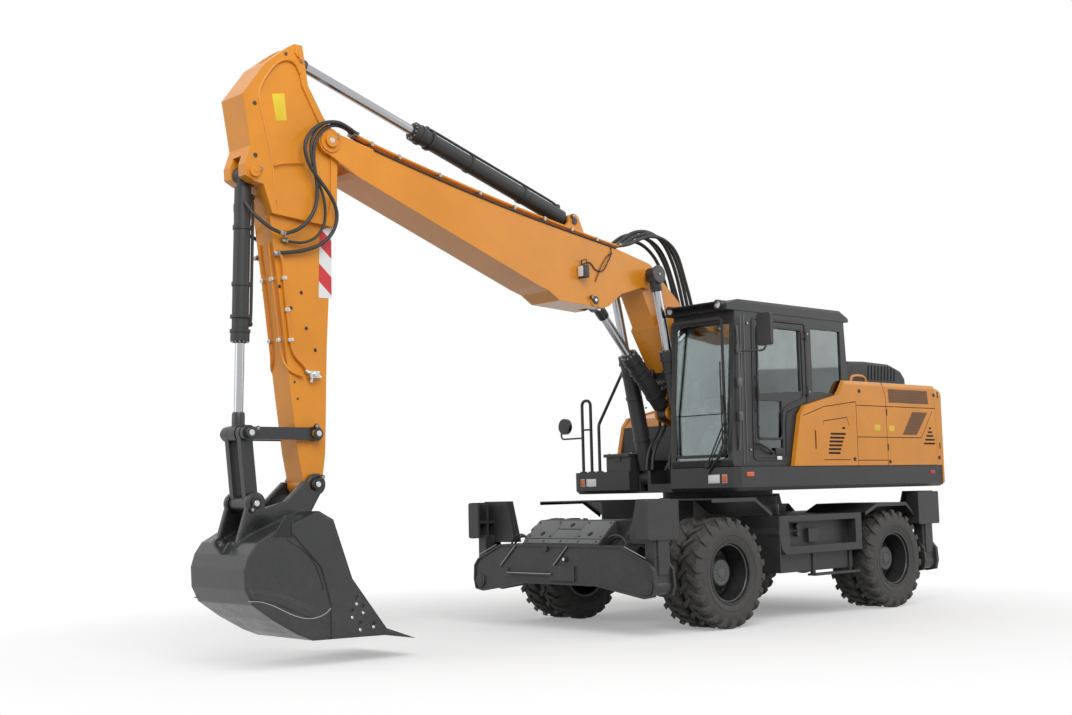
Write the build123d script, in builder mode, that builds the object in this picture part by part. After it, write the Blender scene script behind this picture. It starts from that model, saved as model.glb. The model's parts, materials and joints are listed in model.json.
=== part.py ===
"""Wheeled excavator with a two-piece boom, twin tyres and four folding outriggers.

Millimetres. X points forward, Y to the machine's left and Z up. Z = 0 is the ground.
"""

import os
from math import atan2, cos, degrees, hypot, radians, sin, sqrt

from build123d import *

os.makedirs("parts", exist_ok=True)

# ---------------------------------------------------------------- driving dimensions

# places along the machine
front_axle_x = -330.0
wheelbase = 2800.0
slew_from_front_axle = 1320.0
body_half_width = 1255.0

# wheels
tyre_radius = 527.0
tyre_width = 248.0
tyre_gap = 22.0
tyre_outer_y = 1240.0
rim_radius = 292.0
wheel_clearance = 0.3

# chassis
frame_half_width = 400.0
frame_bottom_z = 720.0
frame_top_z = 1040.0
ring_bottom_z = 1150.0
ring_radius = 630.0
kingpin_y = 640.0
spindle_radius = 60.0
fender_outer_y = 1195.0

# outriggers
outrigger_gap = 220.0
outrigger_plate = 25.0
outrigger_front_x = 955.0
outrigger_rear_x = -3500.0
leg_pivot_y = 1150.0
leg_pivot_z = 455.0
leg_pin_radius = 38.0
pad_bottom_z = 880.0
pad_top_z = 1242.0
pad_outer_y = 1245.0
pad_length = 420.0

# upper structure
deck_bottom_z = 1300.0
deck_top_z = 1535.0
deck_front_left = 1210.0
deck_front_right = 970.0
deck_rear = -2500.0
cover_thickness = 50.0
cover_top_z = 2440.0
panel_gap = 3.0
tail_radius = 2850.0
counterweight_front = -2400.0
rail_radius = 17.0
mirror_x = 900.0
mirror_reach = 1500.0
mirror_arm_radius = 10.0
round_mirror_radius = 88.0

# cab, measured from the slew axis
cab_inner_y = 410.0
cab_outer_y = 1200.0
cab_front = 1200.0
cab_rear = -840.0
cab_floor_z = 1540.0
cab_eaves_z = 3070.0
cab_roof_z = 3190.0
cab_wall = 50.0
glass_thickness = 8.0
glass_seat_gap = 0.3
door_gap = 6.0
hinge_x = -40.0
hinge_y = cab_outer_y + 15
hinge_pin_radius = 8.0
hinge_knuckle_radius = 14.0
hinge_height = 60.0
hinge_places = (2300.0, 2880.0)

# working equipment: pins, measured from the slew axis
boom_foot = (240.0, 1800.0)
boom_joint = (1240.0, 3520.0)
boom_tip = (5152.0, 4326.0)
arm_tip = (5300.0, 1444.0)
arm_cylinder_foot = (2170.0, 4005.0)
arm_cylinder_eye = (5433.0, 5040.0)
bucket_cylinder_foot = (5871.0, 3971.0)
link_arm_pin = (5294.0, 1859.0)
link_outer_pin = (5927.0, 1860.0)
bucket_link_pin = (5872.0, 1302.0)
boom_cylinder_foot = (770.0, 1450.0)
adjust_cylinder_foot = (800.0, 2130.0)
adjust_cylinder_eye = (1800.0, 3205.0)

# widths of the working equipment
lower_boom_half_width = 190.0
lower_boom_head_half_width = 155.0
upper_boom_half_width = 200.0
fork_inner_half_width = 172.0
arm_half_width = 120.0
arm_head_half_width = 164.0
boom_cylinder_y = 292.0
cylinder_eye_half = 52.0
side_clearance = 6.0
pin_clearance = 0.3
boom_pin_radius = 55.0
arm_pin_radius = 50.0
bucket_pin_radius = 42.0
link_pin_radius = 40.0
small_pin_radius = 38.0
bucket_half_width = 410.0
bucket_ear_inner = 132.0
bucket_ear_thickness = 40.0

slew_x = front_axle_x - slew_from_front_axle
rear_axle_x = front_axle_x - wheelbase
axle_z = tyre_radius
ring_top_z = deck_bottom_z - 0.3


def side(y=0.0, x=slew_x):
    """Plane across the machine at y: local X is forward from x, local Y is up."""
    return Plane(origin=(x, y, 0), x_dir=(1, 0, 0), z_dir=(0, -1, 0))


def across(x):
    """Plane along the machine at x: local X is to the left, local Y is up."""
    return Plane(origin=(x, 0, 0), x_dir=(0, 1, 0), z_dir=(1, 0, 0))


def block(x0, x1, y0, y1, z0, z1, mode=Mode.ADD):
    with Locations(((x0 + x1) / 2, (y0 + y1) / 2, (z0 + z1) / 2)):
        Box(abs(x1 - x0), abs(y1 - y0), abs(z1 - z0), mode=mode)


def shaft(x, z, y0, y1, radius, mode=Mode.ADD):
    """Cylinder that lies across the machine."""
    with Locations(Location((x, (y0 + y1) / 2, z), (90, 0, 0))):
        Cylinder(radius, abs(y1 - y0), mode=mode)


def stub(y, z, x0, x1, radius, mode=Mode.ADD):
    """Cylinder that lies along the machine."""
    with Locations(Location(((x0 + x1) / 2, y, z), (0, 90, 0))):
        Cylinder(radius, abs(x1 - x0), mode=mode)


def post(x, y, z0, z1, radius, mode=Mode.ADD):
    with Locations((x, y, (z0 + z1) / 2)):
        Cylinder(radius, abs(z1 - z0), mode=mode)


def between(start, end):
    """Place halfway between two points of a sketch, turned to the line that joins them, and its length."""
    run, rise = end[0] - start[0], end[1] - start[1]
    middle = ((start[0] + end[0]) / 2, (start[1] + end[1]) / 2, 0)
    return Location(middle, (0, 0, degrees(atan2(rise, run)))), hypot(run, rise)


def finish(part, name):
    part.label = name
    export_step(part, f"parts/{name}.step")


def placed(pin):
    """A pin's place in the part's own frame."""
    return slew_x + pin[0], pin[1]


# ---------------------------------------------------------------- chassis

outriggers = {
    # name: (centre from the front axle, way that its outer plate faces)
    "front": (outrigger_front_x, 1),
    "rear": (outrigger_rear_x, -1),
}
beam_profile = [
    # half of the cross beam's outline: y, z
    (0, 447),
    (500, 447),
    (1110, 352),
    (1225, 372),
    (1250, 470),
    (1240, 610),
    (1184, 676),
    (830, 825),
    (0, 825),
]
beam_top_z = 825.0
beam_rim = 16.0
beam_ribs = [
    # from, to, width, depth of the ribs on the front beam's outer plate
    ((-843, 606), (-606, 818), 26, 14),
    ((-73, 623), (128, 818), 26, 14),
    ((-719, 541), (-76, 541), 16, 34),
    ((-719, 541), (-736, 592), 16, 20),
    ((-116, 557), (222, 557), 144, 20),
]
with BuildPart() as chassis_frame:
    block(
        front_axle_x + outrigger_rear_x + outrigger_gap / 2 + outrigger_plate,
        front_axle_x + outrigger_front_x - outrigger_gap / 2 - outrigger_plate,
        -frame_half_width,
        frame_half_width,
        frame_bottom_z,
        frame_top_z,
    )
    lower_rails = edges().filter_by(Axis.X).group_by(Axis.Z)[0]
    chamfer(lower_rails, 40)
    post(slew_x, 0, frame_top_z, ring_bottom_z, ring_radius + 20)
    for centre, facing in outriggers.values():
        middle = front_axle_x + centre
        for hand in (-1, 1):
            with BuildSketch(across(middle + hand * (outrigger_gap + outrigger_plate) / 2)):
                Polygon(*beam_profile, align=None)
                mirror(about=Plane.YZ)
            extrude(amount=outrigger_plate / 2, both=True)
        # bent edge of the outer plate
        face = across(middle + facing * (outrigger_gap / 2 + outrigger_plate))
        with BuildSketch(face):
            Polygon(*beam_profile, align=None)
            mirror(about=Plane.YZ)
            offset(amount=-beam_rim, mode=Mode.SUBTRACT, kind=Kind.INTERSECTION)
        extrude(amount=facing * beam_rim)
        reach = outrigger_gap / 2 + 0.5
        block(middle - reach, middle + reach, -830, 830, beam_top_z - 25, beam_top_z)
        block(middle - reach, middle + reach, -500, 500, 447, 470)
        for y in (-840, 840):
            block(middle - reach, middle + reach, y - 10, y + 10, 420, beam_top_z - 5)
        for y in (-leg_pivot_y, leg_pivot_y):
            end = outrigger_gap / 2 + outrigger_plate + beam_rim + 6
            stub(y, leg_pivot_z, middle - end, middle + end, leg_pin_radius)
            collar = facing * (outrigger_gap / 2 + outrigger_plate)
            stub(y, leg_pivot_z, middle + collar, middle + collar + facing * beam_rim, leg_pin_radius + 28)
    outer_x = front_axle_x + outrigger_front_x + outrigger_gap / 2 + outrigger_plate
    for start, end, width, depth in beam_ribs:
        place, length = between(start, end)
        with BuildSketch(across(outer_x)):
            with Locations(place):
                Rectangle(length, width)
        extrude(amount=depth)
    stub(-174, 790, outer_x, outer_x + 24, 32)
    stub(93, 690, outer_x, outer_x + 28, 26)
    # sloping cover plate between the front beam and the frame, with its access holes
    cover_start = outrigger_front_x - outrigger_gap / 2 - 26
    with BuildSketch(side(0, front_axle_x)):
        Polygon(
            (cover_start, beam_top_z), (cover_start, beam_top_z - 40), (480, 850), (480, frame_top_z - 20),
            align=None,
        )
    extrude(amount=frame_half_width + 130, both=True)
    with BuildSketch(Plane.XY.offset(frame_top_z)):
        with Locations((front_axle_x + 600, 180), (front_axle_x + 600, -180), (front_axle_x + 740, 0)):
            Circle(26)
    extrude(amount=-130, mode=Mode.SUBTRACT)
finish(chassis_frame.part, "chassis_frame")

fender_plate = 12.0
fenders = [
    # axle x, outline of the plate: forward from the axle and height; reach of its upright web
    (front_axle_x, [(200, 1235), (-443, 1235), (-706, 1080)], (-430, 60)),
    (rear_axle_x, [(471, 1045), (246, 1132), (-317, 1132), (-465, 1016)], (-260, 200)),
]
with BuildPart() as fender_plates:
    for axle_x, outline, web in fenders:
        top = outline[1][1] - fender_plate
        for hand in (-1, 1):
            with BuildSketch(side(hand * (frame_half_width + fender_outer_y) / 2, axle_x)):
                Polygon(*outline, *[(x, z - fender_plate) for x, z in reversed(outline)], align=None)
            extrude(amount=(fender_outer_y - frame_half_width) / 2, both=True)
            # turned-down outer lip
            with BuildSketch(side(hand * (fender_outer_y - fender_plate / 2), axle_x)):
                Polygon(*outline, *[(x, z - 38) for x, z in reversed(outline)], align=None)
            extrude(amount=fender_plate / 2, both=True)
            block(
                axle_x + web[0], axle_x + web[1], hand * frame_half_width, hand * (frame_half_width + 14),
                frame_top_z - 90, top,
            )
finish(fender_plates.part, "fenders")

box_front = -830.0
box_rear = -2235.0
box_bottom_z = 656.0
box_outer_y = 1200.0
box_recess = 120.0
locker_bottom_z = 468.0
step_z = 437.0
with BuildPart() as side_boxes:
    for hand in (-1, 1):
        with BuildSketch(side(hand * (frame_half_width + box_outer_y) / 2, front_axle_x)):
            Polygon(
                (box_front, frame_top_z),
                (box_front + 25, box_bottom_z + 210),
                (box_front - 10, box_bottom_z + 60),
                (box_front - 80, box_bottom_z),
                (box_rear, box_bottom_z),
                (box_rear, frame_top_z),
                align=None,
            )
        extrude(amount=(box_outer_y - frame_half_width) / 2, both=True)
        with BuildSketch(side(hand * box_outer_y, front_axle_x)):
            Polygon(
                (box_front - 130, frame_top_z - 60),
                (box_front - 150, box_bottom_z + 75),
                (box_rear + 110, box_bottom_z + 75),
                (box_rear + 110, frame_top_z - 60),
                align=None,
            )
        extrude(amount=hand * box_recess, mode=Mode.SUBTRACT)
        # boss and valve block in the recess
        recess_y = hand * (box_outer_y - box_recess)
        for x, z, radius in ((-1225, 925, 34), (-1225, 850, 26)):
            shaft(front_axle_x + x, z, recess_y - hand * 5, recess_y + hand * 45, radius)
        block(front_axle_x - 1560, front_axle_x - 1400, recess_y - hand * 5, recess_y + hand * 40, 760, 900)
        # lower locker and the step bar below it
        block(
            front_axle_x + box_rear + 60, front_axle_x + box_front - 95, hand * 700, hand * 1110,
            locker_bottom_z, box_bottom_z + 5,
        )
        block(
            front_axle_x + box_rear + 60, front_axle_x + box_front - 560, hand * 1095, hand * box_outer_y,
            step_z - 18, step_z + 4,
        )
        for x in (box_rear + 120, box_front - 640):
            block(
                front_axle_x + x - 20, front_axle_x + x + 20, hand * 1085, hand * 1125, step_z - 10,
                box_bottom_z + 5,
            )
        # rubber flap behind the front wheel
        block(
            front_axle_x + box_front + 5, front_axle_x + box_front + 17, hand * 690, hand * fender_outer_y,
            480, frame_top_z,
        )
finish(side_boxes.part, "side_boxes")

with BuildPart() as slew_ring:
    post(slew_x, 0, ring_bottom_z, ring_top_z - 60, ring_radius)
    post(slew_x, 0, ring_top_z - 60, ring_top_z, ring_radius - 40)
finish(slew_ring.part, "slew_ring")

# ---------------------------------------------------------------- axles and wheels

yoke_inner = 105.0
yoke_thickness = 40.0
knuckle_gap = 5.0
kingpin_radius = 34.0
wheel_inner_y = tyre_outer_y - 2 * tyre_width - tyre_gap
drum_radius = 190.0
hub_face_y = 1105.0
shaft_radius = 42.0
gearbox_x = rear_axle_x + 900.0

with BuildPart() as front_axle:
    with BuildSketch(across(front_axle_x)):
        Polygon(
            (0, axle_z + 90), (220, axle_z + 85), (kingpin_y - 110, axle_z + 70),
            (kingpin_y - 110, axle_z - 70),
            (220, axle_z - 85), (0, axle_z - 90), align=None,
        )
        mirror(about=Plane.YZ)
    extrude(amount=80, both=True)
    with Locations((front_axle_x, 0, axle_z)):
        Sphere(190)
    stub(0, axle_z, front_axle_x - 260, front_axle_x, 85)
    block(front_axle_x - 120, front_axle_x + 120, -140, 140, axle_z + 60, frame_bottom_z)
    # steering cylinder along the axle's front
    shaft(front_axle_x + 150, axle_z + 10, -330, 330, 45)
    shaft(front_axle_x + 150, axle_z + 10, -430, 430, 22)
    block(front_axle_x + 60, front_axle_x + 150, -60, 60, axle_z - 20, axle_z + 40)
    for hand in (-1, 1):
        for up in (-1, 1):
            z = axle_z + up * (yoke_inner + yoke_thickness / 2)
            half = yoke_thickness / 2
            block(
                front_axle_x - 75, front_axle_x + 75, hand * (kingpin_y - 150), hand * (kingpin_y - 5),
                z - half, z + half,
            )
            post(front_axle_x, hand * kingpin_y, z - half, z + half, kingpin_radius + 14)
            post(
                front_axle_x,
                hand * kingpin_y,
                z - up * (half + 40),
                z + up * (half + 15),
                kingpin_radius,
            )
        y = hand * (kingpin_y - 135)
        block(front_axle_x - 75, front_axle_x + 75, y - 25, y + 25, axle_z - 145, axle_z + 145)
finish(front_axle.part, "front_axle")

with BuildPart() as rear_axle:
    with BuildSketch(across(rear_axle_x)):
        Polygon(
            (0, axle_z + 100), (260, axle_z + 95), (wheel_inner_y - 80, axle_z + 85),
            (wheel_inner_y - 80, axle_z - 85), (260, axle_z - 95), (0, axle_z - 100), align=None,
        )
        mirror(about=Plane.YZ)
    extrude(amount=90, both=True)
    with Locations((rear_axle_x, 0, axle_z)):
        Sphere(190)
    for hand in (-1, 1):
        shaft(rear_axle_x, axle_z, hand * 600, hand * (wheel_inner_y - 20), drum_radius)
        shaft(rear_axle_x, axle_z, hand * 600, hand * (hub_face_y - 60), spindle_radius)
        block(
            rear_axle_x - 100, rear_axle_x + 100, hand * 300 - 60, hand * 300 + 60, axle_z + 60, frame_bottom_z
        )
    # gearbox in front of the axle
    stub(0, axle_z, rear_axle_x, gearbox_x - 300, 80)
    block(gearbox_x - 320, gearbox_x, -190, 190, axle_z - 130, axle_z + 150)
    block(gearbox_x - 240, gearbox_x - 80, -110, 110, axle_z + 140, frame_bottom_z)
finish(rear_axle.part, "rear_axle")

with BuildPart() as driveshaft:
    stub(0, axle_z, gearbox_x + 0.3, front_axle_x - 260.3, shaft_radius)
    for x in (gearbox_x + 40, front_axle_x - 300):
        stub(0, axle_z, x - 39, x + 39, shaft_radius + 30)
finish(driveshaft.part, "driveshaft")

for name, hand in (("left", 1), ("right", -1)):
    with BuildPart() as knuckle:
        reach = yoke_inner - knuckle_gap
        post(front_axle_x, hand * kingpin_y, axle_z - reach, axle_z + reach, 70)
        shaft(front_axle_x, axle_z, hand * kingpin_y, hand * (wheel_inner_y - 5), 90)
        shaft(front_axle_x, axle_z, hand * (wheel_inner_y - 25), hand * (wheel_inner_y - 5), drum_radius)
        shaft(front_axle_x, axle_z, hand * kingpin_y, hand * (hub_face_y - 60), spindle_radius)
        post(
            front_axle_x, hand * kingpin_y, axle_z - 2 * reach, axle_z + 2 * reach,
            kingpin_radius + pin_clearance, mode=Mode.SUBTRACT,
        )
    finish(knuckle.part, f"knuckle_{name}")

tyre_facets = 20
facet_turn = 360 / tyre_facets
flat_share = cos(radians(facet_turn / 2))
bead_share = 0.76
widest_radius = 408.0
lug_height = 26.0
lug_width = 46.0
lug_length = 126.0
lug_middle = 37.0
lug_lean = 24.0
carcass_radius = tyre_radius - lug_height
bead_radius = rim_radius / flat_share + 6
tyre_sections = [
    # share of the tyre's half width, radius of the ring of facets there
    (-bead_share, bead_radius),
    (-1.0, widest_radius),
    (-0.86, carcass_radius),
    (0.86, carcass_radius),
    (1.0, widest_radius),
    (bead_share, bead_radius),
]
pair_y = tyre_outer_y - tyre_width - tyre_gap / 2
with BuildPart() as tyre_pair:
    # twin tyres about the origin, every tread facet with one lug
    for hand in (-1, 1):
        y = hand * (tyre_width + tyre_gap) / 2
        for share, radius in tyre_sections:
            with BuildSketch(Plane(origin=(0, y + share * tyre_width / 2, 0), x_dir=(1, 0, 0), z_dir=(0, 1, 0))):
                RegularPolygon(radius, tyre_facets, rotation=facet_turn / 2)
        loft(ruled=True)
        with BuildSketch(Plane(origin=(0, y - tyre_width / 2, 0), x_dir=(1, 0, 0), z_dir=(0, 1, 0))):
            RegularPolygon(rim_radius, tyre_facets, major_radius=False, rotation=facet_turn / 2)
        extrude(amount=tyre_width, mode=Mode.SUBTRACT)
        for number in range(tyre_facets):
            angle = radians(number * facet_turn)
            half = 1 if number % 2 else -1
            outward = Vector(cos(angle), 0, sin(angle))
            foot = Vector(0, y + half * lug_middle, 0) + outward * (carcass_radius * flat_share - 3)
            with Locations(Plane(origin=foot, x_dir=(-sin(angle), 0, cos(angle)), z_dir=outward)):
                Box(
                    lug_width, lug_length, tyre_radius - carcass_radius * flat_share + 3,
                    rotation=(0, 0, half * lug_lean), align=(Align.CENTER, Align.CENTER, Align.MIN),
                )

wheels = {
    # name: (axle x, side of the machine)
    "front_left": (front_axle_x, 1),
    "front_right": (front_axle_x, -1),
    "rear_left": (rear_axle_x, 1),
    "rear_right": (rear_axle_x, -1),
}
flange_height = 10.0
flange_width = 12.0
bead_inset = (1 - bead_share) * tyre_width / 2
flange_gap = bead_inset * (flange_height + wheel_clearance) / (widest_radius - bead_radius) + wheel_clearance
disc_y = 965.0
dish_radius = 165.0
for name, (axle_x, hand) in wheels.items():
    with BuildPart() as tyres:
        with Locations((axle_x, hand * pair_y, axle_z)):
            add(tyre_pair.part)
    finish(tyres.part, f"tyres_{name}")

    with BuildPart() as rim:
        seat = rim_radius - wheel_clearance
        flange = rim_radius + flange_height
        outer = tyre_outer_y - bead_inset + flange_gap
        inner = wheel_inner_y + bead_inset - flange_gap
        bore = spindle_radius + wheel_clearance
        with BuildSketch(Plane(origin=(axle_x, 0, axle_z), x_dir=(1, 0, 0), z_dir=(0, 0, hand))):
            Polygon(
                (bore, wheel_inner_y),
                (150, wheel_inner_y),
                (150, disc_y - 60),
                (seat - 20, disc_y - 14),
                (seat - 20, inner - flange_width),
                (flange, inner - flange_width),
                (flange, inner),
                (seat, inner),
                (seat, outer),
                (flange, outer),
                (flange, outer + flange_width),
                (seat - 12, outer + flange_width),
                (seat - 40, disc_y + 90),
                (seat - 40, disc_y + 20),
                (190, disc_y),
                (dish_radius, disc_y + 20),
                (dish_radius, hub_face_y - 35),
                (125, hub_face_y),
                (0, hub_face_y),
                (0, hub_face_y - 50),
                (bore, hub_face_y - 50),
                align=None,
            )
        revolve(axis=Axis((axle_x, 0, axle_z), (0, 1, 0)))
    finish(rim.part, f"rim_{name}")

# ---------------------------------------------------------------- outrigger legs

leg_width = outrigger_gap - 2 * side_clearance
leg_boss_radius = 75.0
pad_thickness = 40.0
pad_rib_depth = 150.0
guard_outline = [
    # on the side away from the wheels: distance from the middle, height
    (1238, 1250),
    (905, 1250),
    (790, beam_top_z + 12),
    (1100, beam_top_z + 12),
    (1215, 950),
]
guard_reach = (-leg_width / 2, -8.0)
for name, (centre, _) in outriggers.items():
    for word, hand in (("left", 1), ("right", -1)):
        middle = front_axle_x + centre
        with BuildPart() as leg:
            with BuildSketch(across(middle)):
                Polygon(
                    (hand * (leg_pivot_y - 70), leg_pivot_z),
                    (hand * (leg_pivot_y + 66), leg_pivot_z),
                    (hand * (leg_pivot_y + 62), pad_bottom_z + 30),
                    (hand * (leg_pivot_y - 40), pad_bottom_z + 30),
                    align=None,
                )
                with Locations((hand * leg_pivot_y, leg_pivot_z)):
                    Circle(leg_boss_radius)
            extrude(amount=leg_width / 2, both=True)
            # raised rib down the leg's outer face
            block(
                middle - 62, middle + 62, hand * (leg_pivot_y + 40), hand * (leg_pivot_y + 78),
                leg_pivot_z + 110, pad_bottom_z,
            )
            # pad: a rounded sole stiffened by ribs
            with BuildSketch(side(hand * pad_outer_y, middle)):
                with Locations((0, (pad_bottom_z + pad_top_z) / 2)):
                    RectangleRounded(pad_length, pad_top_z - pad_bottom_z, 24)
            extrude(amount=hand * pad_thickness)
            for x in (12 - pad_length / 2, -75, 75, pad_length / 2 - 12):
                block(
                    middle + x - 12,
                    middle + x + 12,
                    hand * (pad_outer_y - pad_rib_depth),
                    hand * (pad_outer_y - pad_thickness / 2),
                    pad_bottom_z + 12,
                    pad_top_z - 12,
                )
            block(
                middle - pad_length / 2 + 12, middle + pad_length / 2 - 12, hand * (pad_outer_y - pad_rib_depth),
                hand * (pad_outer_y - pad_thickness / 2), pad_bottom_z + 150, pad_bottom_z + 174,
            )
            # guard over the cylinder
            with BuildSketch(across(middle + guard_reach[0])):
                Polygon(*[(hand * y, z) for y, z in guard_outline], align=None)
            extrude(amount=guard_reach[1] - guard_reach[0])
            stub(
                hand * leg_pivot_y, leg_pivot_z, middle - leg_width, middle + leg_width,
                leg_pin_radius + pin_clearance, mode=Mode.SUBTRACT,
            )
        finish(leg.part, f"leg_{name}_{word}")

# ---------------------------------------------------------------- upper structure

bracket_plate = 30.0
bracket_inner = lower_boom_half_width + side_clearance
bracket_outer = bracket_inner + bracket_plate
foot_pocket = 100.0
deck_edge_y = body_half_width - 8
deck_bevel = 36.0
lamp_bottom_z = 1378.0
lamp_top_z = 1468.0
deck_lamps = [
    # front face that holds the lamp, from y, to y
    (deck_front_left, 885, 1040),
    (deck_front_left, 1060, 1130),
    (deck_front_right, -1040, -885),
    (deck_front_right, -1130, -1060),
]
with BuildPart() as upper_frame:
    with BuildSketch(Plane.XY.offset(deck_bottom_z)):
        Polygon(
            (slew_x + deck_front_left, deck_edge_y),
            (slew_x + deck_front_left, cab_inner_y - 5),
            (slew_x + 900, cab_inner_y - 5),
            (slew_x + 900, -330),
            (slew_x + deck_front_right, -330),
            (slew_x + deck_front_right, -deck_edge_y),
            (slew_x + deck_rear, -deck_edge_y),
            (slew_x + deck_rear, deck_edge_y),
            align=None,
        )
        corners = vertices().filter_by_position(Axis.X, slew_x, slew_x + 2000)
        fillet([corner for corner in corners if abs(corner.Y) > 1000], 90)
    extrude(amount=deck_top_z - deck_bottom_z)
    lower_edges = edges().group_by(Axis.Z)[0]
    chamfer([edge for edge in lower_edges if abs(edge.center().Y) > cab_inner_y + 20], deck_bevel)
    # brackets that carry the boom's foot and the boom cylinders' feet
    for hand in (-1, 1):
        with BuildSketch(side(hand * (bracket_inner + bracket_outer) / 2)):
            Polygon(
                (-60, deck_top_z - 20),
                (boom_foot[0] - 130, boom_foot[1] + 60),
                (boom_foot[0] + 110, boom_foot[1] + 60),
                (boom_foot[0] + 190, boom_foot[1] - 60),
                (560, deck_top_z + 60),
                (620, deck_top_z - 20),
                align=None,
            )
            with Locations(boom_foot):
                Circle(125)
        extrude(amount=bracket_plate / 2, both=True)
    x, z = placed(boom_foot)
    shaft(x, z, -bracket_outer - 20, bracket_outer + 20, boom_pin_radius)
    for hand in (-1, 1):
        shaft(x, z, hand * bracket_outer, hand * (bracket_outer + 12), boom_pin_radius + 30)
    x, z = placed(boom_cylinder_foot)
    block(x - 140, slew_x + 960, -150, 150, z - 60, deck_top_z, mode=Mode.SUBTRACT)
    for hand in (-1, 1):
        y = hand * boom_cylinder_y
        block(
            x - 150, slew_x + deck_front_left, y - foot_pocket, y + foot_pocket, deck_bottom_z + 20,
            deck_top_z, mode=Mode.SUBTRACT,
        )
        for wall in (-1, 1):
            with BuildSketch(side(y + wall * (cylinder_eye_half + side_clearance + 12))):
                with Locations(boom_cylinder_foot):
                    Circle(72)
                    with Locations((0, -75)):
                        Rectangle(144, 150)
            extrude(amount=12, both=True)
        shaft(x, z, y - 85, y + 85, link_pin_radius)
    for front, low_y, high_y in deck_lamps:
        block(
            slew_x + front - 30, slew_x + front + 1, low_y, high_y, lamp_bottom_z, lamp_top_z, mode=Mode.SUBTRACT
        )
finish(upper_frame.part, "upper_frame")

lamp_gap = 3.0
with BuildPart() as deck_lenses:
    for front, low_y, high_y in deck_lamps:
        block(
            slew_x + front - 30, slew_x + front - 4, low_y + lamp_gap, high_y - lamp_gap,
            lamp_bottom_z + lamp_gap, lamp_top_z - lamp_gap,
        )
finish(deck_lenses.part, "deck_lamps")

# side covers: the outline is forward from the slew axis and height
shoulder_x = -640.0
shoulder_depth = 160.0
shoulder_radius = 45.0
cover_rear = counterweight_front + panel_gap
cover_outline = [
    (290, deck_top_z + panel_gap),
    (158, 2055),
    (70, 2155),
    (-508, 2280),
    (-563, 2332),
    (shoulder_x, cover_top_z),
    (cover_rear, cover_top_z),
    (cover_rear, deck_top_z + panel_gap),
]
groove_width = 8.0
groove_depth = 7.0
cover_grooves = [
    ((-831, deck_top_z), (-831, 2215)),
    ((-1400, deck_top_z), (-1400, 2270)),
    ((-1400, 2270), (-1330, cover_top_z)),
    ((-831, 2177), (cover_rear, 2177)),
    ((-831, 1840), (-2085, 1840)),
    ((-2085, 1840), (-2330, 2140)),
    ((110, 2050), (-260, 2150)),
    ((-260, 2150), (-831, 2215)),
    ((-240, 2000), (-650, 2045)),
    ((-650, 2045), (-690, 1960)),
    ((-240, 2000), (-225, 1960)),
    ((-225, 1598), (-690, 1598)),
    ((-1400, 1592), (-831, 1592)),
]
cover_slots = [
    # from, to, width of the deep slots
    ((-88, 1707), (-88, 1903), 26),
    ((-300, 1668), (-515, 1668), 22),
    ((-305, 1708), (-535, 1708), 22),
    ((-315, 1748), (-555, 1748), 22),
    ((-325, 1788), (-575, 1788), 22),
    ((-335, 1828), (-600, 1828), 22),
    ((-350, 1868), (-625, 1868), 22),
    ((-560, 1930), (-620, 1930), 22),
    ((-2128, 1777), (-2369, 1777), 20),
    ((-2160, 1820), (-2365, 1820), 20),
    ((-2190, 1863), (-2340, 1863), 20),
    ((-2220, 1906), (-2320, 1906), 20),
    ((-2245, 1949), (-2300, 1949), 20),
]
grille_slats = 9
grilles = [
    # outline of the recess, with its slats along the first side
    [(-1460, 2222), (-2262, 2222), (-2240, 2372), (-1449, 2372)],
    [(-1705, 1872), (-1990, 1872), (-2232, 2128), (-1921, 2128)],
]
grille_depth = 16.0
with BuildPart() as side_covers:
    for hand in (-1, 1):
        outer = hand * body_half_width
        face = side(outer)
        with BuildSketch(face):
            Polygon(*cover_outline, align=None)
        extrude(amount=hand * cover_thickness)
        block(
            slew_x + cover_rear, slew_x + cab_rear - 12, hand * (body_half_width - shoulder_depth), outer,
            cover_top_z - 70, cover_top_z,
        )
        outline_edges = edges().filter_by_position(Axis.Y, outer - 1, outer + 1)
        fillet([edge for edge in outline_edges if edge.center().Z > cover_top_z - 5], shoulder_radius)
        with BuildSketch(face):
            for start, end in cover_grooves:
                place, length = between(start, end)
                with Locations(place):
                    Rectangle(length + groove_width, groove_width)
        extrude(amount=hand * groove_depth, mode=Mode.SUBTRACT)
        with BuildSketch(face):
            for start, end, width in cover_slots:
                place, length = between(start, end)
                with Locations(place):
                    SlotOverall(length, width)
        extrude(amount=hand * 18, mode=Mode.SUBTRACT)
        with BuildSketch(face):
            for corners in grilles:
                Polygon(*corners, align=None)
                low_left, low_right, high_right, high_left = corners
                for number in range(1, grille_slats + 1):
                    share = number / (grille_slats + 1)
                    foot = low_left[0] + share * (low_right[0] - low_left[0])
                    head = high_left[0] + share * (high_right[0] - high_left[0])
                    place, length = between((foot, low_left[1]), (head, high_left[1]))
                    with Locations(place):
                        Rectangle(length + 30, 9, mode=Mode.SUBTRACT)
        extrude(amount=hand * grille_depth, mode=Mode.SUBTRACT)
finish(side_covers.part, "side_covers")

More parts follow.
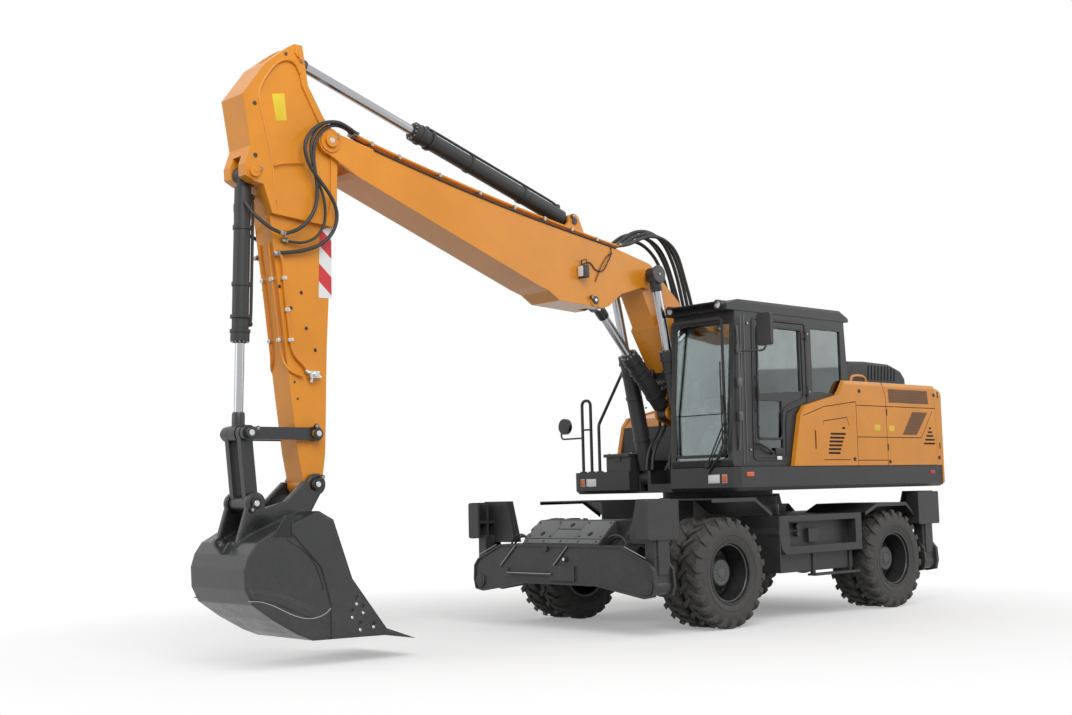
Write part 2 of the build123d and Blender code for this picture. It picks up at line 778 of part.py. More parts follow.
bay_top_z = cover_top_z - 20
tail_corner_x = -sqrt(tail_radius**2 - body_half_width**2)
weight_sections = [
    # front face from the slew axis, lower level, upper level
    (counterweight_front, deck_top_z, bay_top_z),
    (deck_rear - panel_gap, deck_bottom_z + 12, deck_top_z),
]
with BuildPart() as counterweight:
    for front, low_z, high_z in weight_sections:
        with BuildSketch(Plane.XY.offset(low_z)):
            with BuildLine():
                near = (slew_x + tail_corner_x, body_half_width)
                far = (slew_x + tail_corner_x, -body_half_width)
                Polyline(far, (slew_x + front, -body_half_width), (slew_x + front, body_half_width), near)
                ThreePointArc(near, (slew_x - tail_radius, 0), far)
            make_face()
        extrude(amount=high_z - low_z)
    uprights = edges().filter_by(Axis.Z).filter_by_position(
        Axis.X, slew_x + tail_corner_x - 2, slew_x + tail_corner_x + 2
    )
    fillet(uprights, 70)
    top_edges = edges().group_by(Axis.Z)[-1]
    fillet([edge for edge in top_edges if edge.center().X < slew_x + counterweight_front - 5], 90)
    low_edges = edges().group_by(Axis.Z)[0]
    chamfer([edge for edge in low_edges if edge.center().X < slew_x + deck_rear - 10], 30)
    # lifting eyes in pockets on the top, and the lock recess at the back
    for y in (-620, 620):
        block(slew_x - 2640, slew_x - 2500, y - 70, y + 70, bay_top_z - 60, bay_top_z, mode=Mode.SUBTRACT)
        stub(y, bay_top_z - 28, slew_x - 2650, slew_x - 2490, 16)
finish(counterweight.part, "counterweight")

hood_front = -1241.0
hood_rear = -2470.0
hood_half_width = 850.0
hood_top_z = 2720.0
hood_wall = 25.0
bay_half_width = body_half_width - shoulder_depth - 0.3
bay_inner_y = body_half_width - cover_thickness - 0.3
hood_hinge_x = slew_x + hood_front + 14
hood_hinge_z = cover_top_z
hood_hinge_places = (-600.0, 600.0)
with BuildPart() as engine_bay:
    # top deck between the covers, and the bulkhead behind the cab
    block(
        slew_x + cover_rear, slew_x + cab_rear - 8, -bay_half_width, bay_half_width, bay_top_z - 30, bay_top_z
    )
    block(
        slew_x + cab_rear - 38, slew_x + cab_rear - 8, -bay_inner_y, bay_inner_y, deck_top_z, cover_top_z - 75
    )
    block(
        slew_x + cab_rear - 38, slew_x + cab_rear - 8, -bay_half_width, bay_half_width, deck_top_z, bay_top_z
    )
    block(
        slew_x + hood_rear + 60, slew_x + hood_front - 60, 60 - hood_half_width, hood_half_width - 60,
        bay_top_z - 40, bay_top_z + 10, mode=Mode.SUBTRACT,
    )
    for y in hood_hinge_places:
        for wall in (-1, 1):
            middle = y + wall * 38
            block(hood_hinge_x - 12, hood_hinge_x + 12, middle - 6, middle + 6, bay_top_z, hood_hinge_z)
            shaft(hood_hinge_x, hood_hinge_z, middle - 6, middle + 6, hinge_knuckle_radius - 2)
        shaft(hood_hinge_x, hood_hinge_z, y - 44, y + 44, hinge_pin_radius)
    # grab handle in front of the hood
    block(slew_x - 1090, slew_x - 1060, 560, 600, bay_top_z - 10, cover_top_z + 60)
    block(slew_x - 1090, slew_x - 1060, 820, 860, bay_top_z - 10, cover_top_z + 60)
    stub_z = cover_top_z + 60
    shaft(slew_x - 1075, stub_z, 560, 860, 20)
finish(engine_bay.part, "engine_bay")

with BuildPart() as engine:
    block(slew_x - 2250, slew_x - 1250, -520, 420, deck_top_z, 2330)
finish(engine.part, "engine")

hood_slots = 9
with BuildPart() as engine_hood:
    with BuildSketch(side()):
        Polygon(
            (hood_front, bay_top_z + 1),
            (hood_front, hood_top_z - 70),
            (hood_front - 90, hood_top_z - 12),
            (hood_front - 420, hood_top_z),
            (hood_rear + 330, hood_top_z - 12),
            (hood_rear + 90, hood_top_z - 80),
            (hood_rear, bay_top_z + 130),
            (hood_rear, bay_top_z + 1),
            align=None,
        )
        fillet(vertices().filter_by_position(Axis.Y, bay_top_z + 100, hood_top_z - 60), 40)
    extrude(amount=hood_half_width, both=True)
    shoulders = [
        edge
        for edge in edges().filter_by_position(Axis.Y, hood_half_width - 1, hood_half_width + 1)
        + edges().filter_by_position(Axis.Y, -hood_half_width - 1, 1 - hood_half_width)
        if edge.center().Z > bay_top_z + 5
    ]
    fillet(shoulders, 38)
    block(
        slew_x + hood_rear + hood_wall, slew_x + hood_front - hood_wall, hood_wall - hood_half_width,
        hood_half_width - hood_wall, bay_top_z, hood_top_z - 110, mode=Mode.SUBTRACT,
    )
    for hand in (-1, 1):
        with BuildSketch(side(hand * hood_half_width)):
            for number in range(hood_slots):
                with Locations(Location((-1700 - 66 * number, 2592, 0), (0, 0, 96))):
                    SlotOverall(170, 26)
        extrude(amount=hand * 14, mode=Mode.SUBTRACT)
    with BuildSketch(Plane.YZ.offset(slew_x + hood_rear)):
        for number in range(2 * hood_slots):
            with Locations((-640 + 1280 * number / (2 * hood_slots - 1), 2500)):
                Rectangle(34, 100)
    extrude(amount=14, mode=Mode.SUBTRACT)
    for y in hood_hinge_places:
        shaft(hood_hinge_x, hood_hinge_z, y - 30, y + 30, hinge_knuckle_radius + 2)
        shaft(hood_hinge_x, hood_hinge_z, y - 30, y + 30, hinge_pin_radius + pin_clearance, mode=Mode.SUBTRACT)
finish(engine_hood.part, "engine_hood")

# right-hand side: fuel tank under a cover, toolbox, rails
tank_inner_y = 330.0
tank_split_z = 2035.0
tank_middle_y = -(tank_inner_y + bay_inner_y) / 2
tank_reach = (bay_inner_y - tank_inner_y) / 2
with BuildPart() as right_body:
    with BuildSketch(side(tank_middle_y)):
        Polygon(
            (210, deck_top_z), (205, 1780), (165, tank_split_z), (cab_rear, tank_split_z), (cab_rear, deck_top_z),
            align=None,
        )
    extrude(amount=tank_reach, both=True)
    fillet(edges().filter_by_position(Axis.Y, -tank_inner_y - 1, 1 - tank_inner_y).filter_by_position(
        Axis.X, slew_x + 150, slew_x + 220), 40)
    post(slew_x - 100, -560, tank_split_z, tank_split_z + 40, 60)
    for z in (1700, 1860):
        stub(tank_middle_y - 120, z, slew_x + 190, slew_x + 215, 26)
finish(right_body.part, "right_body")

with BuildPart() as tank_cover:
    with BuildSketch(side(tank_middle_y)):
        Polygon(
            (170, tank_split_z + panel_gap),
            (60, 2140),
            (-500, 2265),
            (cab_rear, 2300),
            (cab_rear, tank_split_z + panel_gap),
            align=None,
        )
    extrude(amount=tank_reach, both=True)
    inner_edges = edges().filter_by_position(Axis.Y, -tank_inner_y - 1, 1 - tank_inner_y)
    fillet([edge for edge in inner_edges if edge.center().Z > tank_split_z + 20 and edge.center().X > slew_x + cab_rear + 5], 45)
    post(slew_x - 100, -560, tank_split_z, tank_split_z + 60, 66, mode=Mode.SUBTRACT)
finish(tank_cover.part, "tank_cover")

toolbox_lid_z = 1690.0
with BuildPart() as toolbox:
    block(slew_x + 560, slew_x + 940, -760, -402, deck_top_z, toolbox_lid_z)
    fillet(edges().filter_by(Axis.Z), 18)
    block(slew_x + 552, slew_x + 962, -772, -400, toolbox_lid_z, toolbox_lid_z + 34)
    fillet(edges().group_by(Axis.Z)[-1], 10)
    shaft(slew_x + 566, toolbox_lid_z + 40, -700, -470, 9)
    block(slew_x + 930, slew_x + 950, -620, -540, toolbox_lid_z - 50, toolbox_lid_z + 4)
    # step behind the box, up to the tank
    block(slew_x + 300, slew_x + 545, -1100, -420, deck_top_z, 1650)
finish(toolbox.part, "toolbox")

with BuildPart() as handrails:
    with BuildLine() as hairpin:
        FilletPolyline(
            (slew_x + 900, -1140, deck_top_z),
            (slew_x + 900, -1140, 2325),
            (slew_x + 900, -1010, 2325),
            (slew_x + 900, -1010, deck_top_z),
            radius=55,
        )
    with BuildSketch(Plane(origin=hairpin.line @ 0, z_dir=hairpin.line % 0)):
        Circle(rail_radius)
    sweep(path=hairpin.line)
    block(slew_x + 888, slew_x + 912, -1140, -1010, 1995, 2015)
    with BuildLine() as rail:
        FilletPolyline(
            (slew_x + 900, -890, deck_top_z),
            (slew_x + 900, -890, 2050),
            (slew_x + 420, -890, 2760),
            (slew_x - 700, -890, 2760),
            (slew_x - 700, -890, 2288),
            radius=110,
        )
    with BuildSketch(Plane(origin=rail.line @ 0, z_dir=rail.line % 0)):
        Circle(rail_radius)
    sweep(path=rail.line)
    for y in (-1140, -1010, -890):
        post(slew_x + 900, y, deck_top_z, deck_top_z + 12, 40)
    # round mirror on its arm
    with BuildLine() as mirror_arm:
        FilletPolyline(
            (slew_x + mirror_x, -1140, 1917),
            (slew_x + mirror_x, 22 - mirror_reach, 1917),
            (slew_x + mirror_x, 22 - mirror_reach, 2050),
            radius=40,
        )
    with BuildSketch(Plane(origin=mirror_arm.line @ 0, z_dir=mirror_arm.line % 0)):
        Circle(mirror_arm_radius)
    sweep(path=mirror_arm.line)
    stub(
        round_mirror_radius - mirror_reach, 2056, slew_x + mirror_x - 20, slew_x + mirror_x + 24,
        round_mirror_radius,
    )
finish(handrails.part, "handrails")
# ---------------------------------------------------------------- cab

cab_outline = [
    (cab_front - 20, cab_floor_z),
    (cab_front, cab_floor_z + 60),
    (cab_front - 20, 2050),
    (cab_front - 110, cab_eaves_z),
    (-745, cab_eaves_z),
    (-800, 2150),
    (-815, cab_floor_z),
]
door_outline = [
    (840, 1620),
    (800, 2990),
    (-30, 2990),
    (-30, 2190),
    (330, 2080),
    (360, 1620),
]
with BuildPart() as cab_frame:
    cab_middle_y = (cab_inner_y + cab_outer_y) / 2
    with BuildSketch(side(cab_middle_y)):
        Polygon(*cab_outline, align=None)
    extrude(amount=(cab_outer_y - cab_inner_y) / 2, both=True)
    block(
        slew_x - 745, slew_x + 1060, cab_inner_y + cab_wall, cab_outer_y - cab_wall,
        cab_floor_z + cab_wall, cab_eaves_z + 20, mode=Mode.SUBTRACT,
    )
    for x in (-640, 1000):
        for y in (cab_inner_y + 110, cab_outer_y - 110):
            post(slew_x + x, y, deck_top_z, cab_floor_z + 5, 60)
    # windscreen
    block(
        slew_x + 900, slew_x + 1300, cab_inner_y + 60, cab_outer_y - 60, 1610, 2960, mode=Mode.SUBTRACT,
    )
    # rear window
    block(
        slew_x - 900, slew_x - 700, cab_inner_y + 90, cab_outer_y - 90, 2320, 2960, mode=Mode.SUBTRACT,
    )
    # right side window
    with BuildSketch(side(cab_inner_y)):
        Polygon((950, 1700), (900, 2960), (-650, 2960), (-690, 2250), (100, 1700), align=None)
    extrude(amount=cab_wall * 2, both=True, mode=Mode.SUBTRACT)
    # door opening and left rear window
    with BuildSketch(side(cab_outer_y)):
        Polygon(*door_outline, align=None)
        offset(amount=door_gap, kind=Kind.INTERSECTION)
        with Locations((-405, 2630)):
            Rectangle(520, 660)
    extrude(amount=cab_wall * 2, both=True, mode=Mode.SUBTRACT)
    for z in hinge_places:
        for up in (-1, 1):
            level = z + up * (hinge_height / 2 + 7)
            block(slew_x + hinge_x - 45, slew_x + hinge_x, cab_outer_y, hinge_y, level - 6, level + 6)
            post(slew_x + hinge_x, hinge_y, level - 6, level + 6, hinge_knuckle_radius - 2)
        reach = hinge_height / 2 + 13
        post(slew_x + hinge_x, hinge_y, z - reach, z + reach, hinge_pin_radius)
    # mirror on its arm, ahead of the door's sweep
    with BuildLine() as mirror_arm:
        FilletPolyline(
            (slew_x + 1080, cab_outer_y - 10, 2665),
            (slew_x + mirror_x, mirror_reach - 85, 2665),
            (slew_x + mirror_x, mirror_reach - 85, 2760),
            radius=40,
        )
    with BuildSketch(Plane(origin=mirror_arm.line @ 0, z_dir=mirror_arm.line % 0)):
        Circle(mirror_arm_radius)
    sweep(path=mirror_arm.line)
    with BuildSketch(across(slew_x + mirror_x - 24)):
        with Locations((mirror_reach - 85, 2872)):
            RectangleRounded(170, 316, 26)
    extrude(amount=44)
finish(cab_frame.part, "cab_frame")

roof_half_width = (cab_outer_y - cab_inner_y) / 2 + 5
roof_lamp_z = cab_eaves_z + 52
with BuildPart() as cab_roof:
    with BuildSketch(side(cab_middle_y)):
        Polygon(
            (cab_front + 20, cab_eaves_z + glass_seat_gap),
            (cab_front - 20, cab_eaves_z + 70),
            (cab_front - 200, cab_roof_z),
            (-700, cab_roof_z),
            (-830, cab_eaves_z + 60),
            (-830, cab_eaves_z + glass_seat_gap),
            align=None,
        )
    extrude(amount=roof_half_width, both=True)
    crown = [
        edge
        for edge in edges()
        if edge.center().Z > cab_eaves_z + 45 and abs(edge.center().Y - cab_middle_y) > roof_half_width - 1
    ]
    fillet(crown, 38)
    # hatch on the roof, visor and the lamps at its ends
    block(slew_x - 420, slew_x + 360, cab_middle_y - 270, cab_middle_y + 270, cab_roof_z - 5, cab_roof_z + 14)
    block(
        slew_x + cab_front - 60, slew_x + cab_front + 95, cab_inner_y + 70, cab_outer_y - 70,
        cab_eaves_z + 66, cab_eaves_z + 78,
    )
    for y in (cab_inner_y + 85, cab_outer_y - 85):
        stub(y, roof_lamp_z, slew_x + cab_front - 60, slew_x + cab_front + 42, 48)
finish(cab_roof.part, "cab_roof")

with BuildPart() as door:
    with BuildSketch(side(cab_outer_y - cab_wall / 2)):
        Polygon(*door_outline, align=None)
        Polygon((760, 2260), (740, 2930), (60, 2930), (60, 2300), align=None, mode=Mode.SUBTRACT)
        Polygon((770, 1760), (760, 2190), (390, 2190), (390, 1690), (640, 1690), align=None, mode=Mode.SUBTRACT)
    extrude(amount=cab_wall / 2, both=True)
    for z in hinge_places:
        low = z - hinge_height / 2
        high = z + hinge_height / 2
        block(slew_x + hinge_x + 11, slew_x + hinge_x + 60, cab_outer_y, cab_outer_y + 10, low, high)
        post(slew_x + hinge_x, hinge_y, low, high, hinge_knuckle_radius)
        post(slew_x + hinge_x, hinge_y, low, high, hinge_pin_radius + pin_clearance, mode=Mode.SUBTRACT)
finish(door.part, "door")

with BuildPart() as door_glass:
    with BuildSketch(side(cab_outer_y - 20)):
        Polygon((760, 2260), (740, 2930), (60, 2930), (60, 2300), align=None)
        Polygon((770, 1760), (760, 2190), (390, 2190), (390, 1690), (640, 1690), align=None)
        offset(amount=-glass_seat_gap, kind=Kind.INTERSECTION)
    extrude(amount=glass_thickness / 2, both=True)
finish(door_glass.part, "door_glass")

with BuildPart() as cab_glass:
    with BuildSketch(side(cab_inner_y + 25)):
        Polygon((950, 1700), (900, 2960), (-650, 2960), (-690, 2250), (100, 1700), align=None)
        offset(amount=-glass_seat_gap, kind=Kind.INTERSECTION)
    extrude(amount=glass_thickness / 2, both=True)
    with BuildSketch(side(cab_outer_y - 20)):
        with Locations((-405, 2630)):
            Rectangle(519.4, 659.4)
    extrude(amount=glass_thickness / 2, both=True)
    block(
        slew_x - 790, slew_x - 782, cab_inner_y + 90.3, cab_outer_y - 90.3, 2320.3, 2959.7,
    )
    for low, high in ((1610.3, 2050), (2060, 2959.7)):
        with BuildSketch(side(cab_middle_y)):
            top = cab_front - 25 - (high - 2050) * 0.088
            bottom = cab_front - 25 - max(0, low - 2050) * 0.088
            Polygon((bottom, low), (bottom - 8, low), (top - 8, high), (top, high), align=None)
        extrude(amount=(cab_outer_y - cab_inner_y - 120.6) / 2, both=True)
finish(cab_glass.part, "cab_glass")

with BuildPart() as seat:
    y = cab_middle_y
    block(slew_x - 250, slew_x + 150, y - 150, y + 150, cab_floor_z + cab_wall, 1850)
    block(slew_x - 300, slew_x + 230, y - 240, y + 240, 1850, 1990)
    with BuildSketch(side(y)):
        Polygon((-300, 1970), (-170, 1970), (-290, 2600), (-400, 2600), align=None)
    extrude(amount=230, both=True)
    for hand in (-1, 1):
        block(slew_x - 200, slew_x + 250, y + hand * 290 - 45, y + hand * 290 + 45, 2060, 2110)
        block(slew_x - 200, slew_x - 120, y + hand * 190, y + hand * 300, 1980, 2070)
finish(seat.part, "seat")

# ---------------------------------------------------------------- boom, arm and bucket

with BuildPart() as lower_boom:
    with BuildSketch(side()):
        Polygon(
            (430, 1900), (1090, 3000), (950, 3240), (700, 3190), (560, 3080), (150, 2300), (80, 1850),
            align=None,
        )
        with Locations(boom_foot):
            Circle(170)
    extrude(amount=lower_boom_half_width, both=True)
    with BuildSketch(side()):
        Polygon(
            (1090, 3000), (1270, 3360), (1365, 3500), (1240, 3650), (1130, 3640), (700, 3290), (560, 3080),
            align=None,
        )
        with Locations(boom_joint):
            Circle(135)
    extrude(amount=lower_boom_head_half_width, both=True)
    x, z = placed(boom_foot)
    shaft(x, z, -300, 300, boom_pin_radius + pin_clearance, mode=Mode.SUBTRACT)
    x, z = placed(boom_joint)
    reach = boom_cylinder_y - cylinder_eye_half - side_clearance
    shaft(x, z, -reach, reach, boom_pin_radius)
    # lugs of the adjust cylinder's foot
    for hand in (-1, 1):
        with BuildSketch(side(hand * 75)):
            Polygon((540, 1960), (700, 2060), (560, 2330), align=None)
            with Locations(adjust_cylinder_foot):
                Circle(75)
            Polygon((500, 1950), (830, 2060), (760, 2200), (680, 2330), align=None)
        extrude(amount=15, both=True)
    x, z = placed(adjust_cylinder_foot)
    shaft(x, z, -95, 95, small_pin_radius)
finish(lower_boom.part, "lower_boom")

boom_bosses = [
    # bosses on the side plates: place, radius
    (boom_tip, 96),
    ((2024.0, 3211.0), 62),
]
with BuildPart() as upper_boom:
    with BuildSketch(side()):
        Polygon(
            (1214, 3655),
            (1707, 3765),
            (3300, 4027),
            (5060, 4400),
            (5164, 4440),
            (5255, 4370),
            (5230, 4250),
            (4866, 4060),
            (2779, 3298),
            (2640, 3257),
            (2500, 3173),
            (1899, 3141),
            (1815, 3171),
            (1630, 3304),
            (1318, 3397),
            (1115, 3490),
            (1110, 3570),
            align=None,
        )
        with Locations(boom_joint):
            Circle(135)
        with Locations(boom_tip):
            Circle(112)
    extrude(amount=upper_boom_half_width, both=True)
    x, z = placed(boom_joint)
    with BuildSketch(side()):
        with Locations(boom_joint):
            Circle(190)
            with Locations((-200, 0)):
                Rectangle(400, 380)
        Polygon((1100, 3500), (1380, 3420), (1100, 2950), (800, 3200), align=None)
    extrude(amount=fork_inner_half_width, both=True, mode=Mode.SUBTRACT)
    shaft(x, z, -300, 300, boom_pin_radius + pin_clearance, mode=Mode.SUBTRACT)
    with BuildSketch(side()):
        with Locations(boom_tip):
            Circle(320)
            with Locations((200, 0)):
                Rectangle(400, 640)
    extrude(amount=fork_inner_half_width, both=True, mode=Mode.SUBTRACT)
    x, z = placed(boom_tip)
    shaft(x, z, -upper_boom_half_width - 24, upper_boom_half_width + 24, arm_pin_radius)
    for place, radius in boom_bosses:
        x, z = placed(place)
        for hand in (-1, 1):
            shaft(x, z, hand * (upper_boom_half_width - 4), hand * (upper_boom_half_width + 12), radius)
    with BuildSketch(side()):
        with Locations(adjust_cylinder_eye):
            Circle(130)
        Polygon((1640, 3260), (1940, 3260), (2060, 3050), (1500, 3050), align=None)
    extrude(amount=60, both=True, mode=Mode.SUBTRACT)
    # lugs of the arm cylinder's foot
    for hand in (-1, 1):
        with BuildSketch(side(hand * 75)):
            Polygon((1980, 3790), (2380, 3850), (2200, 4040), (2110, 4060), align=None)
            with Locations(arm_cylinder_foot):
                Circle(75)
        extrude(amount=15, both=True)
    x, z = placed(arm_cylinder_foot)
    shaft(x, z, -95, 95, small_pin_radius)
finish(upper_boom.part, "upper_boom")

head_outline = [
    (5478, 5110),
    (5400, 5110),
    (5372, 4953),
    (5345, 4780),
    (5192, 4530),
    (5050, 4380),
    (5055, 4100),
    (5063, 3800),
    (5090, 3600),
    (5700, 3650),
    (5780, 3880),
    (5871, 3895),
    (5950, 3935),
    (5955, 4030),
    (5901, 4184),
    (5974, 4600),
    (5757, 4897),
    (5552, 5060),
]
head_pocket = [
    (5656, 3686),
    (5686, 4064),
    (5823, 4616),
    (5801, 4677),
    (5735, 4795),
    (5647, 4914),
    (5512, 4975),
    (5434, 4912),
    (5405, 4770),
    (5250, 4500),
    (5120, 4350),
    (5120, 4100),
    (5128, 3800),
    (5146, 3690),
]
head_pocket_depth = 14.0
with BuildPart() as arm:
    with BuildSketch(side()):
        Polygon(
            (5063, 3900),
            (5106, 3343),
            (5150, 2591),
            (5175, 1698),
            (5210, 1460),
            (5390, 1460),
            (5440, 1700),
            (5510, 2210),
            (5627, 3104),
            (5710, 3735),
            (5600, 4000),
            align=None,
        )
        with Locations(arm_tip):
            Circle(92)
    extrude(amount=arm_half_width, both=True)
    with BuildSketch(side()):
        Polygon(*head_outline, align=None)
    extrude(amount=arm_head_half_width, both=True)
    for hand in (-1, 1):
        with BuildSketch(side(hand * arm_head_half_width)):
            Polygon(*head_pocket, align=None)
            with Locations(boom_tip):
                Circle(104, mode=Mode.SUBTRACT)
        extrude(amount=hand * head_pocket_depth, mode=Mode.SUBTRACT)
    # slots for the eyes of the arm cylinder and the bucket cylinder
    with BuildSketch(side()):
        Polygon((5250, 5200), (5250, 4780), (5500, 4780), (5620, 4925), (5720, 4925), (5720, 5200), align=None)
        Polygon((5790, 4110), (5790, 3700), (6100, 3700), (6100, 4110), align=None)
    extrude(amount=62, both=True, mode=Mode.SUBTRACT)
    x, z = placed(boom_tip)
    shaft(x, z, -300, 300, arm_pin_radius + pin_clearance, mode=Mode.SUBTRACT)
    x, z = placed(bucket_cylinder_foot)
    shaft(x, z, -arm_head_half_width - 14, arm_head_half_width + 14, link_pin_radius)
    shaft(x, z, 62, arm_head_half_width + 6, 64)
    shaft(x, z, -arm_head_half_width - 6, -62, 64)
    x, z = placed(link_arm_pin)
    shaft(x, z, -196, 196, link_pin_radius)
    x, z = placed(arm_tip)
    shaft(x, z, -188, 188, bucket_pin_radius)
finish(arm.part, "arm")

link_inner = arm_half_width + side_clearance
link_thickness = 44.0
with BuildPart() as side_links:
    for hand in (-1, 1):
        y = hand * (link_inner + link_thickness / 2)
        with BuildSketch(side(y)):
            with Locations(link_arm_pin, link_outer_pin):
                Circle(62)
            length = link_outer_pin[0] - link_arm_pin[0]
            with Locations(((link_arm_pin[0] + link_outer_pin[0]) / 2, link_arm_pin[1])):
                Rectangle(length, 100)
            with Locations(link_arm_pin):
                Circle(link_pin_radius + pin_clearance, mode=Mode.SUBTRACT)
        extrude(amount=link_thickness / 2, both=True)
    x, z = placed(link_outer_pin)
    for hand in (-1, 1):
        shaft(x, z, hand * 62, hand * 196, link_pin_radius)
finish(side_links.part, "side_links")

rocker_inner = 66.0
rocker_outer = arm_half_width
rocker_angle = degrees(
    atan2(bucket_link_pin[1] - link_outer_pin[1], bucket_link_pin[0] - link_outer_pin[0])
)
rocker_length = hypot(bucket_link_pin[1] - link_outer_pin[1], bucket_link_pin[0] - link_outer_pin[0])
with BuildPart() as rocker:
    for hand in (-1, 1):
        y = hand * (rocker_inner + rocker_outer) / 2
        with BuildSketch(side(y)):
            with Locations(link_outer_pin, bucket_link_pin):
                Circle(66)
            with Locations(
                Location(
                    (
                        (link_outer_pin[0] + bucket_link_pin[0]) / 2,
                        (link_outer_pin[1] + bucket_link_pin[1]) / 2,
                        0,
                    ),
                    (0, 0, rocker_angle),
                )
            ):
                Rectangle(rocker_length, 110)
            with Locations(link_outer_pin):
                Circle(link_pin_radius + pin_clearance, mode=Mode.SUBTRACT)
        extrude(amount=(rocker_outer - rocker_inner) / 2, both=True)
    x, z = placed(bucket_link_pin)
    shaft(x, z, -rocker_outer, rocker_outer, 66)
finish(rocker.part, "rocker")

bucket_lift = 50.0
lifting_eye = (6105.0, 1000.0)
lifting_eye_radius = 24.0
bucket_profile = [
    (4489, 98),
    (4802, 150),
    (5500, 165),
    (5640, 222),
    (5860, 345),
    (6051, 479),
    (6112, 600),
    (6119, 756),
    (6085, 860),
    (6020, 948),
    (5892, 1015),
    (5703, 1085),
    (5448, 1180),
    (5311, 1109),
    (5131, 629),
    (4794, 206),
]
bucket_hollow = [
    (4400, 108),
    (4802, 175),
    (5500, 190),
    (5630, 246),
    (5847, 367),
    (6031, 495),
    (6087, 606),
    (6094, 752),
    (6062, 850),
    (6003, 930),
    (5882, 991),
    (5694, 1061),
    (5440, 1155),
    (5200, 1155),
    (4900, 629),
    (4500, 300),
]
cutter_outline = [
    (4489, 98),
    (4802, 150),
    (5335, 164),
    (5335, 437),
    (5423, 732),
    (5703, 1020),
    (5700, 1086),
    (5448, 1180),
    (5311, 1109),
    (5131, 629),
    (4794, 206),
]
cutter_bolts = [(5089, 475), (5027, 398), (5135, 371), (5058, 267), (4922, 250)]
wear_strips = [((5532, 384), (5824, 510)), ((5824, 510), (6040, 556))]
with BuildPart() as bucket:
    with BuildSketch(side()):
        Polygon(*[(x, z + bucket_lift) for x, z in bucket_profile], align=None)
    extrude(amount=bucket_half_width, both=True)
    with BuildSketch(side()):
        Polygon(*[(x, z + bucket_lift) for x, z in bucket_hollow], align=None)
    extrude(amount=bucket_half_width - 25, both=True, mode=Mode.SUBTRACT)
    for hand in (-1, 1):
        face = side(hand * bucket_half_width)
        with BuildSketch(face):
            Polygon(*[(x, z + bucket_lift) for x, z in cutter_outline], align=None)
            for x, z in cutter_bolts:
                with Locations((x, z + bucket_lift)):
                    Circle(17, mode=Mode.SUBTRACT)
        extrude(amount=-hand * 12)
        with BuildSketch(face):
            with Locations((0, bucket_lift)):
                for start, end in wear_strips:
                    place, length = between(start, end)
                    with Locations(place):
                        SlotOverall(length + 70, 70)
        extrude(amount=-hand * 9)
    for hand in (-1, 1):
        y = hand * (bucket_ear_inner + bucket_ear_thickness / 2)
        with BuildSketch(side(y)):
            Polygon(
                (5240, 1400),
                (5380, 1180),
                (5700, 1120),
                (6060, 930),
                (5950, 1280),
                (5800, 1260),
                (5600, 1310),
                (5420, 1470),
                align=None,
            )
            with Locations(arm_tip, bucket_link_pin):
                Circle(88)
            with Locations(arm_tip):
                Circle(bucket_pin_radius + pin_clearance, mode=Mode.SUBTRACT)
        extrude(amount=bucket_ear_thickness / 2, both=True)
    # lifting eye on the bucket's back
    with BuildSketch(side()):
        Polygon((5975, 998), (6075, 890), (6149, 992), (6097, 1044), align=None)
        with Locations(lifting_eye):
            Circle(45)
            Circle(lifting_eye_radius, mode=Mode.SUBTRACT)
    extrude(amount=20, both=True)
finish(bucket.part, "bucket")

# ---------------------------------------------------------------- cylinders

cylinders = {
    # name: foot, eye, radius of barrel, of rod, barrel length, rod inside the barrel at rest,
    #       distances from the middle plane, radius of the eyes, half width of the eyes, foot pin radius
    "boom": (
        boom_cylinder_foot, boom_joint, 80, 47, 1330, 400,
        (-boom_cylinder_y, boom_cylinder_y), 78, cylinder_eye_half, link_pin_radius,
    ),
    "adjust": (adjust_cylinder_foot, adjust_cylinder_eye, 84, 45, 800, 400, (0,), 74, 50, small_pin_radius),
    "arm": (arm_cylinder_foot, arm_cylinder_eye, 80, 45, 2040, 400, (0,), 70, 54, small_pin_radius),
    "bucket": (bucket_cylinder_foot, link_outer_pin, 68, 38, 1370, 640, (0,), 70, 54, link_pin_radius),
}
neck = 105.0
gland_length = 90.0
bore_start = 140.0
for name, row in cylinders.items():
    foot, eye, barrel_radius, rod_radius, length, inside, places, eye_radius, half, pin = row
    heading = atan2(eye[1] - foot[1], eye[0] - foot[0])
    span = hypot(eye[1] - foot[1], eye[0] - foot[0])
    bases = [
        Plane(
            origin=(slew_x + foot[0], y, foot[1]),
            x_dir=(-sin(heading), 0, cos(heading)),
            z_dir=(cos(heading), 0, sin(heading)),
        )
        for y in places
    ]
    with BuildPart() as barrel:
        for y, base in zip(places, bases):
            with BuildSketch(base):
                Circle(half - 4)
            extrude(amount=neck)
            with BuildSketch(base.offset(neck)):
                Circle(barrel_radius)
            extrude(amount=length - neck - gland_length)
            with BuildSketch(base.offset(length - gland_length)):
                Circle(barrel_radius + 9)
            extrude(amount=gland_length)
            shaft(slew_x + foot[0], foot[1], y - half, y + half, eye_radius)
            with BuildSketch(base.offset(bore_start)):
                Circle(rod_radius + 4)
            extrude(amount=length, mode=Mode.SUBTRACT)
            shaft(slew_x + foot[0], foot[1], y - half * 2, y + half * 2, pin + pin_clearance, mode=Mode.SUBTRACT)
    finish(barrel.part, f"{name}_cylinder_barrel")
    with BuildPart() as rod:
        for y, base in zip(places, bases):
            with BuildSketch(base.offset(length - inside)):
                Circle(rod_radius)
            extrude(amount=span - length + inside)
            with BuildSketch(base.offset(length - inside)):
                Circle(rod_radius + 3.7)
            extrude(amount=40)
            shaft(slew_x + eye[0], eye[1], y - half, y + half, eye_radius - 4)
    finish(rod.part, f"{name}_cylinder_rod")
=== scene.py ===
"""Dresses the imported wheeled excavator: paints, rubber, glass, hoses, small fittings and a plain studio."""

